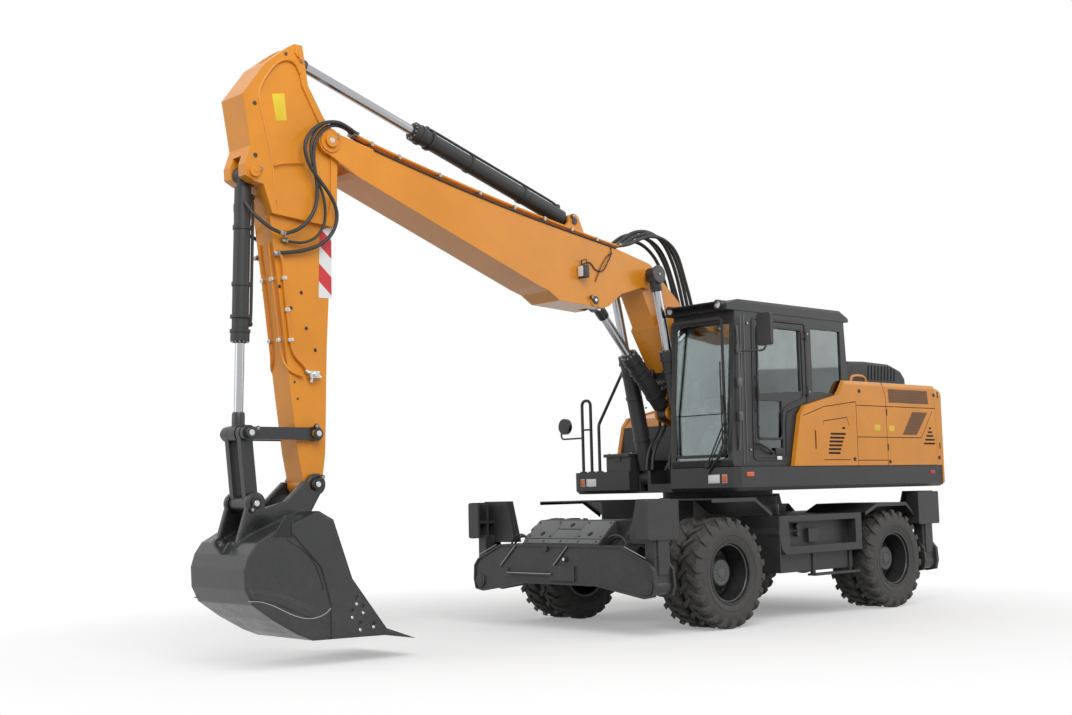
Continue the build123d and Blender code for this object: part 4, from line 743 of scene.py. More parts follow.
def add_lug(bm, middle, side, hand, start, full):
    """One bar of the tread, from the middle of a tyre round to its shoulder, about the wheel's own middle."""
    rows = []
    for foot_y, foot_r, top_y, top_r, angle, half in LUG:
        top_r = foot_r + (top_r - foot_r) * full
        row = []
        for across, radius, wide in ((foot_y, foot_r - 6, half + 4), (top_y, top_r, half - 2)):
            for lean in (-1, 1):
                turn = start + angle + lean * wide / TYRE_RADIUS
                spot = (math.sin(turn) * radius, hand * (middle + side * across), math.cos(turn) * radius)
                row.append(bm.verts.new(Vector(spot) / 1000))
        rows.append(row)
    for first, second in zip(rows, rows[1:]):
        for a, b in ((0, 1), (1, 3), (3, 2), (2, 0)):
            bm.faces.new((first[a], first[b], second[b], second[a]))
    bm.faces.new((rows[0][0], rows[0][2], rows[0][3], rows[0][1]))
    bm.faces.new((rows[-1][0], rows[-1][1], rows[-1][3], rows[-1][2]))


class EXCAVATOR_OT_tyres(bpy.types.Operator):
    """Builds the twin tyres with their moulded side walls and the bars of their tread"""

    bl_idname = "excavator.tyres"
    bl_label = "Tyres"

    def execute(self, context):
        tread = context.scene.excavator_tread
        pitch = 2 * math.pi / tread.lugs
        full = min(tread.depth / FULL_TREAD, 1.0)
        for name, (u, hand) in WHEELS.items():
            centre = at(u, AXLE_Z)
            bm = bmesh.new()
            for middle in TYRE_PAIR:
                profile = CARCASS + [(-along, radius) for along, radius in reversed(CARCASS[:-1])]
                add_turned(bm, profile, at(u, AXLE_Z, hand * middle), LEFT, 96, closed=True)
                for side in (-1, 1):
                    bead = [(side * 121, 356), (side * 125.5, 360), (side * 121, 364)]
                    add_turned(bm, bead, at(u, AXLE_Z, hand * middle), LEFT, 96, closed=True)
            piece(f"tyre_carcass_{name}", bm, f"wheel_{name}", "tyre_rubber", (f"tyres_{name}",), 30)
            bars = bmesh.new()
            for number, middle in enumerate(TYRE_PAIR):
                for side in (-1, 1):
                    start = pitch * (0.5 * (side > 0) + 0.25 * number)
                    add_lug(bars, middle, side, hand, start, full)
            places = []
            for number in range(tread.lugs):
                turn = pitch * number
                places.append((centre, (math.sin(turn), 0, math.cos(turn)), (math.cos(turn), 0, -math.sin(turn))))
            set_out(f"tyre_lugs_{name}", bars, places, f"wheel_{name}", "tyre_rubber")
        return {"FINISHED"}


class EXCAVATOR_OT_wheels(bpy.types.Operator):
    """Adds the wheel nuts, the hub covers, the rims' lock rings and the valves"""

    bl_idname = "excavator.wheels"
    bl_label = "Wheel details"

    def execute(self, context):
        for name, (u, hand) in WHEELS.items():
            body = f"wheel_{name}"
            out = LEFT * hand
            bm = bmesh.new()
            centre = at(u, AXLE_Z)
            add_turned(bm, [(1106, 0), (1106, 46), (1112, 52), (1116, 48), (1118, 30), (1118, 0)], centre, out, 40)
            profile = [(1100, 92), (1107, 96), (1111, 104), (1107, 114), (1098, 120)]
            add_turned(bm, profile, centre, out, 48, closed=True)
            add_disc(bm, centre + out * 1.1045, out, 121, 4, 2, 48)
            piece(f"hub_cover_{name}", bm, body, "hub_paint")
            lock = bmesh.new()
            add_turned(
                lock,
                [(1206, 284), (1214, 292), (1220, 300), (1222, 308), (1217, 312), (1208, 306), (1200, 296)],
                centre, out, 72, closed=True,
            )
            add_turned(lock, [(1196, 258), (1204, 264), (1204, 272), (1196, 276)], centre, out, 72, closed=True)
            piece(f"lock_ring_{name}", lock, body, "lock_ring")
            valve = bmesh.new()
            stem = at(u, AXLE_Z - 235, hand * 1010)
            profile = [(0, 0), (0, 7), (60, 7), (60, 9), (84, 9), (86, 6), (86, 0)]
            add_turned(valve, profile, stem, out + Vector((0, 0, -0.2)), 12)
            piece(f"valve_{name}", valve, body, "zinc")
            nuts = ring_places(centre + out * 0.972, out, 215, 10)
            set_out(f"wheel_nuts_{name}", bolt_shape(18, 30), nuts, body, "zinc")
            ring = ring_places(centre + out * 1.105, out, 72, 12, 0.2)
            set_out(f"hub_bolts_{name}", bolt_shape(9, 10), ring, body, "hub_paint")
        return {"FINISHED"}


# ---------------------------------------------------------------- bucket and links

# thickness in metres of the flag plate that keeps a pin from turning
FLAG_THICKNESS = 0.015


def pin_cap(bm, keeper, pin, face, radius, hand, spin):
    """A pin's round end with its flag plate; the place of the plate's bolt is added to the keeper's list."""
    centre = at(*pin, hand * face)
    out = LEFT * hand
    add_turned(bm, [(0, 0), (0, radius), (9, radius), (12, radius - 4), (12, 0)], centre, out, 32)
    across = Vector((math.cos(spin), 0, math.sin(spin)))
    side = Vector((-math.sin(spin), 0, math.cos(spin)))
    corners = []
    for along, wide in ((0, -18), (radius + 34, -18), (radius + 42, 0), (radius + 34, 18), (0, 18)):
        corners.append(centre + across * (along / 1000) + side * (wide / 1000))
    thick = out * FLAG_THICKNESS
    low = [bm.verts.new(corner) for corner in corners]
    high = [bm.verts.new(corner + thick) for corner in corners]
    bm.faces.new(low)
    bm.faces.new(list(reversed(high)))
    for number in range(len(corners)):
        after = (number + 1) % len(corners)
        bm.faces.new((low[after], low[number], high[number], high[after]))
    keeper.append((centre + across * ((radius + 20) / 1000) + thick, out, across))


def pin_caps(bm, keeper, pin, face, radius, spin):
    """The caps at both ends of a pin."""
    for hand in (-1, 1):
        pin_cap(bm, keeper, pin, face, radius, hand, spin)


class EXCAVATOR_OT_bucket(bpy.types.Operator):
    """Adds the bucket's cutter bolts, weld runs (the lower one pale, as worn metal and partly a painted highlight),
    corner plates and pin ends, and the links' caps
    """

    bl_idname = "excavator.bucket"
    bl_label = "Bucket and links"

    def execute(self, context):
        # the lower weld is pale polished metal: worn, and partly a painted highlight along the bucket's lower edge
        for name, finish, radius, route in (
            ("bucket_welds", "worn_edge", 5, (
                (6085, 560), (6010, 558), (5944, 543), (5826, 495), (5707, 430), (5571, 388), (5462, 388),
                (5380, 415), (5335, 455),
            )),
            ("bucket_side_welds", "black_paint", 4, (
                (5735, 1010), (5640, 965), (5540, 890), (5470, 800), (5425, 690), (5403, 600),
            )),
        ):
            weld = bmesh.new()
            add_tubes(weld, [(u, z, BUCKET_FACE) for u, z in route], radius)
            piece(name, weld, "bucket", finish)
        plates = bmesh.new()
        add_plates(plates, [(5753, 1205), (5600, 1200), (5650, 1090), (5700, 1030), (5872, 1039)], 398, 416, 4)
        piece("bucket_corner_plates", plates, "bucket", "black_paint")
        cutter = ((5097, 473), (5033, 398), (5142, 369), (4931, 277), (5064, 264))
        set_out("bucket_bolts", bolt_shape(13, 9, False), sides_of(cutter, 423), "bucket", "steel")

        for name, body, finish, pins in (
            ("bucket_pins", "bucket", "black_paint", ((ARM_TIP, 190, 50, 2.2), (LINK_BUCKET, 176, 44, -0.9))),
            ("link_pins", "side_links", "link_paint", ((LINK_OUTER, 197, 44, 2.6),)),
        ):
            caps = bmesh.new()
            keepers = []
            for pin in pins:
                pin_caps(caps, keepers, *pin)
            piece(name, caps, body, finish)
            set_out(f"{name}_bolts", bolt_shape(10, 9), keepers, body, "zinc")
        tips = bmesh.new()
        add_discs(tips, LINK_BUCKET, 188, 24, 6)
        add_discs(tips, ARM_TIP, 202, 24, 6)
        piece("bucket_pin_centres", tips, "bucket", "steel")
        tips = bmesh.new()
        add_discs(tips, LINK_OUTER, 209, 25, 6)
        piece("link_pin_centres", tips, "side_links", "steel")
        return {"FINISHED"}


# ---------------------------------------------------------------- arm and booms


def clamp_shape(reach):
    """A pipe clamp: a ribbed block with its bolt, standing up along Z."""
    bm = bmesh.new()
    block = Matrix.Translation((0, 0, 0.016)) @ Matrix.Diagonal((0.030, reach / 500, 0.040, 1))
    made = bmesh.ops.create_cube(bm, size=1.0, matrix=block)
    round_off(bm, made["verts"], 4)
    add_turned(bm, [(30, 0), (30, 9), (44, 9), (46, 7), (46, 0)], ORIGIN, UP, 6)
    return bm


class EXCAVATOR_OT_arm(bpy.types.Operator):
    """Adds the arm's pipes, valve, studs, pin ends, reflective tape and plain plate"""

    bl_idname = "excavator.arm"
    bl_label = "Arm details"

    def execute(self, context):
        pipe = context.scene.excavator_hoses.pipe * 1000
        pipes = bmesh.new()
        add_tubes(
            pipes,
            [
                (5640, 3330, 152), (5598, 3300, 150), (5588, 3240, 146), (5577, 3082, 140), (5548, 2840, 138),
                (5521, 2624, 138), (5497, 2521, 140), (5452, 2468, 142), (5400, 2430, 142), (5360, 2385, 142),
            ], pipe,
        )
        add_tubes(
            pipes,
            [
                (5680, 3420, 70), (5668, 3300, 70), (5650, 3130, 70), (5585, 2630, 72), (5562, 2470, 76),
                (5546, 2400, 118), (5500, 2350, 142), (5400, 2330, 142),
            ], pipe * 0.8,
        )
        add_tubes(pipes, [(5686, 4040, 172), (5647, 4079, 172), (5395, 4108, 172)], 8)
        piece("arm_pipes", pipes, "arm", "amber_paint")
        clamps = sides_of(((5582, 3130), (5521, 2624), (5550, 2870)), ARM_FACE + 2, (0.13, 0, 1))
        for u, z in ((5628, 3128), (5563, 2630)):
            clamps += [(at(u, z, y), (1, 0, -0.13), (0.13, 0, 1)) for y in (70, -70)]
        set_out("arm_pipe_clamps", clamp_shape(20), clamps, "arm", "steel")
        ridge = bmesh.new()
        add_tubes(
            ridge,
            [
                (5420, 4870, 158), (5440, 4930, 160), (5510, 4985, 160), (5640, 4935, 160), (5740, 4810, 160),
                (5815, 4680, 160), (5826, 4600, 160), (5760, 4340, 160), (5690, 4070, 160), (5664, 3760, 156),
            ], 13,
        )
        piece("arm_head_ridges", ridge, "arm", "amber_paint")

        studs = ((5608, 3061), (5500, 2891), (5399, 3026), (5352, 2732), (5266, 2556))
        set_out("arm_studs", bolt_shape(11, 13), sides_of(studs, ARM_FACE), "arm", "stud")
        # the side links pass over these, so they are low
        studs = ((5470, 2282), (5440, 2146))
        set_out("arm_low_studs", bolt_shape(11, 4, False), sides_of(studs, ARM_FACE), "arm", "stud")

        valve = bmesh.new()
        port = [(-4, 0), (-4, 14), (16, 14), (18, 11), (34, 11), (36, 8), (36, 0)]
        add_discs(valve, (5300, 2346), 176, 24, 22, 4)
        for hand in (1, -1):
            add_block(valve, (5262, 2316, hand * 122), (5352, 2376, hand * 176), 6)
            for u, z, axis in ((5352, 2362, (1, 0, 0.6)), (5262, 2340, (-1, 0, -0.4)), (5320, 2316, (0.1, 0, -1))):
                add_turned(valve, port, at(u, z, hand * 148), axis, 6)
        piece("arm_valve", valve, "arm", "steel")

        keepers = []
        caps = bmesh.new()
        pin_caps(caps, keepers, LINK_ARM, 197, 44, 1.2)
        piece("arm_pin_ends", caps, "arm", "link_paint")
        heads = bmesh.new()
        pin_caps(heads, keepers, BUCKET_FOOT, HEAD_FACE + 14, 46, 2.5)
        pin_caps(heads, keepers, ARM_CYLINDER_EYE, HEAD_FACE + 1, 40, -1.9)
        piece("arm_head_pin_ends", heads, "arm", "amber_paint")
        set_out("arm_pin_bolts", bolt_shape(10, 9), keepers, "arm", "zinc")
        bosses = bmesh.new()
        add_discs(bosses, LINK_ARM, 209, 24, 6)
        piece("arm_small_bosses", bosses, "arm", "steel")
        bosses = bmesh.new()
        for spot, *size in (((5862, 4540), 17, 8, 2), ((5856, 4108), 20, 3, 1), ((5560, 5010), 14, 8, 2)):
            add_discs(bosses, spot, HEAD_FACE, *size)
        piece("arm_dark_bosses", bosses, "arm", "stud")

        for hand, finish, label in ((1, "stripe", "left"), (-1, "stripe_far", "right")):
            tape = bmesh.new()
            outline = [(5098, 3000), (5228, 2996), (5212, 3560), (5094, 3620)]
            add_plate(tape, outline, hand * (ARM_FACE + 0.5), hand * (ARM_FACE + 2.5))
            piece(f"arm_tape_{label}", tape, "arm", finish)
        plate = bmesh.new()
        outline = [(5690, 4650), (5570, 4675), (5548, 4448), (5650, 4428)]
        add_plate(plate, outline, POCKET_FACE - 1, POCKET_FACE + 2, 0.8)
        piece("arm_plain_plate", plate, "arm", "label")
        return {"FINISHED"}


BOOM_TOP = [(1787, 3795), (2478, 3918), (3251, 4046), (4195, 4248), (4634, 4342), (4790, 4390)]


class EXCAVATOR_OT_booms(bpy.types.Operator):
    """Adds the pipes over the upper boom, its pin ends, the work lamp and the cables"""

    bl_idname = "excavator.booms"
    bl_label = "Boom details"

    def execute(self, context):
        pipe = context.scene.excavator_hoses.pipe * 1000
        pipes = bmesh.new()
        rows = (100, 140, 180, -100, -140, -180)
        painted_pipes = bmesh.new()
        for y in rows:
            route = [(u, z + 12, y) for u, z in BOOM_TOP]
            target = pipes if abs(y) == 100 else painted_pipes
            add_tube(target, [(1640, 3795, y), *route, (4850, 4420, y)], pipe)
        piece("boom_painted_pipes", painted_pipes, "upper_boom", "amber_paint")
        add_tubes(
            pipes,
            [(1700, 3765, 206), (2478, 3880, 209), (3251, 4000, 209), (4195, 4200, 209), (4700, 4318, 209)], 8,
        )
        piece("boom_pipes", pipes, "upper_boom", "hose")
        clamps = []
        for (u0, z0), (u1, z1) in zip(BOOM_TOP, BOOM_TOP[1:]):
            run = Vector((u1 - u0, 0, z1 - z0)).normalized()
            up = Vector((-run.z, 0, run.x))
            count = max(1, round((u1 - u0) / 420))
            for number in range(count):
                share = (number + 0.5) / count
                for hand in (-1, 1):
                    spot = at(u0 + share * (u1 - u0), z0 + share * (z1 - z0), hand * 140) - up * 0.012
                    clamps.append((spot, up, run))
        set_out("boom_pipe_clamps", clamp_shape(66), clamps, "upper_boom", "zinc")
        unions = [(at(4850, 4432, y), (0.9, 0, 0.3), LEFT) for y in rows]
        unions += [(at(1640, 3807, y), (-0.9, 0, 0.1), LEFT) for y in rows]
        set_out("boom_unions", bolt_shape(19, 46), unions, "upper_boom", "zinc")

        keepers = []
        caps = bmesh.new()
        pin_caps(caps, keepers, ADJUST_EYE, 213, 40, 0.4)
        pin_caps(caps, keepers, ARM_CYLINDER_FOOT, 96, 34, 1.0)
        piece("boom_pin_ends", caps, "upper_boom", "link_paint")
        tips = bmesh.new()
        pin_caps(tips, keepers, BOOM_TIP, 225, 58, 2.4)
        piece("boom_tip_pin_ends", tips, "upper_boom", "amber_paint")
        set_out("boom_pin_bolts", bolt_shape(10, 9), keepers, "upper_boom", "zinc")
        centres = bmesh.new()
        add_discs(centres, BOOM_TIP, 237, 24, 5)
        add_discs(centres, ADJUST_EYE, 225, 16, 4)
        piece("boom_pin_centres", centres, "upper_boom", "steel")

        lamp = bmesh.new()
        glass = bmesh.new()
        for hand in (1, -1):
            add_block(lamp, (2172, 3412, hand * 206), (2252, 3536, hand * 292), 12)
            add_block(lamp, (2150, 3462, hand * 199), (2176, 3486, hand * 236), 3)
            outline = [(hand * y, z) for y, z in ((215, 3422), (283, 3422), (283, 3526), (215, 3526))]
            add_plate(glass, outline, 2250, 2260, 5, "front")
        add_tube(lamp, [(2165, 3470, 202), (2205, 3590, 214), (2205, 3590, 280), (2205, 3530, 292)], 7, False)
        piece("boom_lamp_housings", lamp, "upper_boom", "casing")
        piece("boom_lamp_lenses", glass, "upper_boom", "white_lens")
        cables = bmesh.new()
        add_tubes(
            cables,
            [
                (2190, 3540, 216), (2120, 3600, 212), (2051, 3567, 210), (2025, 3519, 210), (1940, 3500, 212),
                (1883, 3522, 212), (1822, 3629, 212), (1761, 3706, 212), (1780, 3790, 205),
            ], 6,
        )
        add_tubes(
            cables, [(1761, 3706, 212), (1820, 3690, 212), (1860, 3640, 210), (1930, 3560, 209), (2010, 3400, 209)], 5
        )
        piece("boom_cables", cables, "upper_boom", "hose")

        caps = bmesh.new()
        keepers = sides_of((BOOM_JOINT,), 374)
        profile = [(346, 0), (346, 88), (352, 94), (366, 94), (372, 88), (374, 40), (374, 0)]
        for hand in (-1, 1):
            add_turned(caps, profile, at(*BOOM_JOINT), LEFT * hand, 40)
        pin_caps(caps, keepers, ADJUST_FOOT, 96, 34, 1.0)
        piece("lower_boom_pin_ends", caps, "lower_boom", "link_paint")
        set_out("lower_boom_pin_bolts", bolt_shape(10, 9), keepers, "lower_boom", "zinc")
        foot = bmesh.new()
        keepers = []
        pin_caps(foot, keepers, BOOM_FOOT, 262, 56, 2.2)
        piece("boom_foot_pin_ends", foot, "upper", "link_paint")
        set_out("boom_foot_pin_bolts", bolt_shape(11, 10), keepers, "upper", "zinc")
        return {"FINISHED"}


# ---------------------------------------------------------------- hoses

ARCH = {
    # the hose's distance to the left: how much higher its loop rises and how far its end leans forward
    -170: (-30, 10), -105: (25, -20), -40: (-10, 15), 25: (40, -10), 95: (0, 0), 165: (-35, 25),
}
# square to the lower boom's belly: forward and up
BELLY_OUT = (0.8575, -0.5145)


def belly_spot(z):
    """The place on the lower boom's belly at a height, as forward and height."""
    return 430 + 0.6 * (z - 1900), z


def belly_band(low_z, high_z, under, over):
    """A band along the lower boom's belly, between two depths square to it."""
    ahead, down = BELLY_OUT
    (low_u, low), (high_u, high) = belly_spot(low_z), belly_spot(high_z)
    return [
        (low_u + over * ahead, low + over * down), (high_u + over * ahead, high + over * down),
        (high_u + under * ahead, high + under * down), (low_u + under * ahead, low + under * down),
    ]


class EXCAVATOR_OT_hoses(bpy.types.Operator):
    """Runs the hydraulic hoses over the boom's joints and down the arm"""

    bl_idname = "excavator.hoses"
    bl_label = "Hoses"

    def execute(self, context):
        bore = context.scene.excavator_hoses.bore * 1000
        arch = bmesh.new()
        for y, (rise, lean) in ARCH.items():
            add_tube(
                arch,
                [
                    (1640, 3800, y), (1530, 3815, y), (1420, 3870 + rise * 0.6, y), (1290, 3950 + rise, y),
                    (1110, 4000 + rise, y), (920, 3985 + rise, y), (760, 3900 + rise, y * 0.98),
                    (640 + lean, 3740, y * 0.92), (560 + lean, 3540, y * 0.86), (500, 3340, y * 0.84),
                    (455, 3180, y * 0.82),
                ], bore,
            )
        bridge("boom_joint_hoses", arch, "hose")
        back = bmesh.new()
        plate = bmesh.new()
        for y in ARCH:
            route = [(400, 3030), (250, 2740), (140, 2480), (60, 2280)]
            add_tube(back, [(455, 3180, y * 0.82), *((u, z, y * 0.8) for u, z in route)], bore * 0.92)
        add_plate(plate, [(400, 3060), (430, 3045), (540, 3110), (520, 3150)], -150, 150, 3)
        add_plate(plate, [(95, 2390), (120, 2370), (205, 2400), (190, 2440)], -140, 140, 3)
        piece("boom_back_hoses", back, "lower_boom", "hose")
        piece("boom_hose_brackets", plate, "lower_boom", "link_paint")
        foot = bmesh.new()
        for y in ARCH:
            add_tube(
                foot,
                [
                    (60, 2280, y * 0.8), (10, 2150, y * 0.8), (-40, 1980, y * 0.85), (-70, 1820, y * 0.9),
                    (-80, 1680, y), (-80, 1545, y),
                ], bore * 0.92,
            )
        bridge("boom_foot_hoses", foot, "hose")

        loops = bmesh.new()
        main = [
            (4850, 4434, 180), (4940, 4465, 200), (5040, 4492, 225), (5129, 4490, 240), (5284, 4455, 250),
            (5412, 4331, 256), (5450, 4228, 254), (5414, 4104, 246), (5315, 3989, 240), (5188, 3876, 232),
            (5100, 3745, 226), (5102, 3604, 216), (5180, 3476, 196), (5321, 3386, 172), (5495, 3347, 158),
            (5640, 3330, 152),
        ]
        second = [
            (4850, 4434, 140), (4960, 4470, 170), (5069, 4486, 200), (5212, 4440, 222), (5315, 4330, 232),
            (5345, 4207, 230), (5331, 4078, 222), (5290, 3940, 214), (5290, 3781, 208), (5349, 3634, 200),
            (5474, 3520, 192), (5598, 3488, 188),
        ]
        third = [
            (4850, 4434, 100), (4960, 4490, 150), (5059, 4515, 200), (5243, 4474, 224), (5374, 4322, 238),
            (5375, 4161, 236), (5308, 3984, 226), (5230, 3850, 214), (5202, 3692, 204), (5217, 3580, 192),
            (5307, 3455, 176), (5457, 3420, 164), (5560, 3440, 150),
        ]
        for route, share in ((main, 0.84), (second, 0.84), (third, 0.62)):
            add_tube(loops, route, bore * share)
            add_tube(loops, [(u - 12, z + 14, -y) for u, z, y in route], bore * 0.8)
        bridge("arm_joint_hoses", loops, "hose")
        tail = bmesh.new()
        add_tubes(
            tail,
            [
                (5598, 3488, 188), (5690, 3500, 184), (5770, 3550, 170), (5850, 3620, 140), (5890, 3690, 100),
                (5900, 3740, 74),
            ], bore * 0.8,
        )
        bridge("bucket_cylinder_hoses", tail, "hose")
        ends = [
            (at(u, z, hand * y), facing, LEFT)
            for u, z, y, facing in (
                (5600, 3488, 188, (1, 0, 0.1)), (5636, 3330, 152, (0.9, 0, -0.2)), (5556, 3440, 148, (1, 0, 0.2)),
            ) for hand in (1, -1)
        ]
        set_out("arm_hose_unions", bolt_shape(20, 44), ends, "arm", "zinc")
        knot = bmesh.new()
        for y, ahead in ((118, 40), (150, 10), (178, 60)):
            route = [(860, 1540), (860, 1680), (770, 1850), (620, 1980), (640, 2160), (760, 2380)]
            points = [(u + ahead, z, y) for u, z in route]
            add_tubes(knot, [*points, (840 + ahead * 0.5, 2520, y), (850, 2600, y)], bore * 0.9)
        bridge("boom_cylinder_hoses", knot, "hose")

        guard = bmesh.new()
        for low_z, high_z, low_y, high_y in ((2120, 2345, 97, 184), (2120, 2345, -184, -97), (2345, 2560, -184, 184)):
            add_plate(guard, belly_band(low_z, high_z, -4, 8), low_y, high_y)
        add_plates(guard, belly_band(2260, 2560, -150, 8), 190, 195)
        add_plate(guard, belly_band(2400, 2520, 6, 66), -90, 90, 6)
        piece("boom_belly_guard", guard, "lower_boom", "casing")
        ahead, down = BELLY_OUT
        ends = [
            (at(u + ahead * 66, z + down * 66, y), (ahead, 0, down), LEFT)
            for u, z in (belly_spot(2430), belly_spot(2490)) for y in (-65, -22, 22, 65)
        ]
        set_out("belly_unions", bolt_shape(15, 30), ends, "lower_boom", "zinc")
        return {"FINISHED"}


# ---------------------------------------------------------------- cylinders

CYLINDERS = {
    # body: foot, eye, distances to the left, radius of the barrel, its length, radii of the rod and of the eye,
    # half the eye's width
    "boom": (BOOM_CYLINDER_FOOT, BOOM_JOINT, (-292, 292), 80, 1330, 47, 74, 50),
    "adjust": (ADJUST_FOOT, (1800, 3205), (0,), 84, 800, 45, 70, 50),
    "arm": (ARM_CYLINDER_FOOT, ARM_CYLINDER_EYE, (0,), 80, 2040, 45, 66, 54),
    "bucket": (BUCKET_FOOT, LINK_OUTER, (0,), 68, 1370, 38, 66, 54),
}


def add_band(bm, middle, axis, start, end, inner, outer, steps):
    """A square-edged ring round an axis."""
    add_turned(bm, [(start, inner), (start, outer), (end, outer), (end, inner)], middle, axis, steps, closed=True)


class EXCAVATOR_OT_cylinders(bpy.types.Operator):
    """Adds the cylinders' gland bolts, feed pipes, ports and wiper rings"""

    bl_idname = "excavator.cylinders"
    bl_label = "Cylinder details"

    def execute(self, context):
        pipe = context.scene.excavator_hoses.pipe * 1000
        for name, (foot, eye, places, radius, length, rod, sleeve, half) in CYLINDERS.items():
            run = Vector((eye[0] - foot[0], 0, eye[1] - foot[1])).normalized()
            over = Vector((-run.z, 0, run.x))
            if over.z < 0 or name == "bucket":
                over = -over
            bm = bmesh.new()
            wiper = bmesh.new()
            bolts = []
            for y in places:
                base = at(*foot, y)
                end = base + run * (length / 1000)
                for start in (-96, -214):
                    add_band(bm, end, run, start, start + 26, radius + 4, radius + 15, 40)
                lip = [(-4, 0.58), (0, 0.80), (9, 0.80), (14, 0.64), (14, 0.58)]
                add_turned(wiper, [(along, radius * share) for along, share in lip], end, run, 36, closed=True)
                for along in (170, length - 150):
                    port = base + run * (along / 1000) + over * ((radius - 2) / 1000)
                    add_turned(bm, [(0, 0), (0, 26), (20, 26), (22, 20), (38, 20), (38, 0)], port, over, 20)
                feed = base + over * ((radius + 30) / 1000)
                stops = (190, 260, length - 240, length - 160)
                first, *middles, last = [feed + run * (stop / 1000) for stop in stops]
                points = [first - over * 0.012, first + run * 0.03, *middles, last, last - over * 0.012]
                add_tube(bm, [placed(point) for point in points], pipe)
                for share in (0.32, 0.66):
                    middle = base + run * (length * share / 1000)
                    add_band(bm, middle, run, -16, 16, radius - 2, radius + 8, 36)
                    bolts.append((middle + over * ((radius + 6) / 1000), over, run))
                bolts += ring_places(end, run, radius - 6, 12)
            sleeves = bmesh.new()
            for y in places:
                middle = at(*eye, y)
                add_band(sleeves, middle, LEFT, -half, half, sleeve - 6, sleeve + 4, 40)
                neck = [(-170, rod - 2), (-170, rod + 9), (-150, rod + 14), (-50, rod + 14), (-50, rod - 2)]
                add_turned(sleeves, neck, middle, run, 36, closed=True)
            piece(f"{name}_rod_sleeves", sleeves, f"{name}_rod", "link_paint")
            piece(f"{name}_cylinder_fittings", bm, f"{name}_barrel", "grey_paint")
            piece(f"{name}_cylinder_wiper", wiper, f"{name}_barrel", "seal")
            set_out(f"{name}_cylinder_bolts", bolt_shape(8, 9), bolts, f"{name}_barrel", "zinc")
        return {"FINISHED"}


# ---------------------------------------------------------------- cab


def rounded_loop(corners, radius):
    """A closed outline with its corners drawn in by short arcs."""
    points = []
    count = len(corners)
    for number, corner in enumerate(corners):
        here = Vector(corner)
        before, after = Vector(corners[number - 1]), Vector(corners[(number + 1) % count])
        into, away = (before - here).normalized(), (after - here).normalized()
        first, last = here + into * radius, here + away * radius
        for step in range(5):
            share = step / 4
            points.append(tuple(first.lerp(here, share).lerp(here.lerp(last, share), share)))
    return points


def add_frame(bm, corners, width, radius, start, end, plane="side"):
    """A flat seal or border that runs round an opening."""
    put = PLANES[plane]
    outer = rounded_loop(corners, radius)
    middle = sum((Vector(corner) for corner in corners), Vector((0, 0))) / len(corners)
    inner = []
    for number, spot in enumerate(outer):
        here = Vector(spot)
        run = (Vector(outer[(number + 1) % len(outer)]) - Vector(outer[number - 1])).normalized()
        side = Vector((-run.y, run.x))
        if side.dot(middle - here) < 0:
            side = -side
        inner.append(tuple(here + side * width))
    rings = [
        [bm.verts.new(put(a, b, depth)) for a, b in loop]
        for loop, depth in ((outer, start), (outer, end), (inner, end), (inner, start))
    ]
    for ring, other in zip(rings, rings[1:] + rings[:1]):
        for number in range(len(outer)):
            after = (number + 1) % len(outer)
            bm.faces.new((ring[number], ring[after], other[after], other[number]))


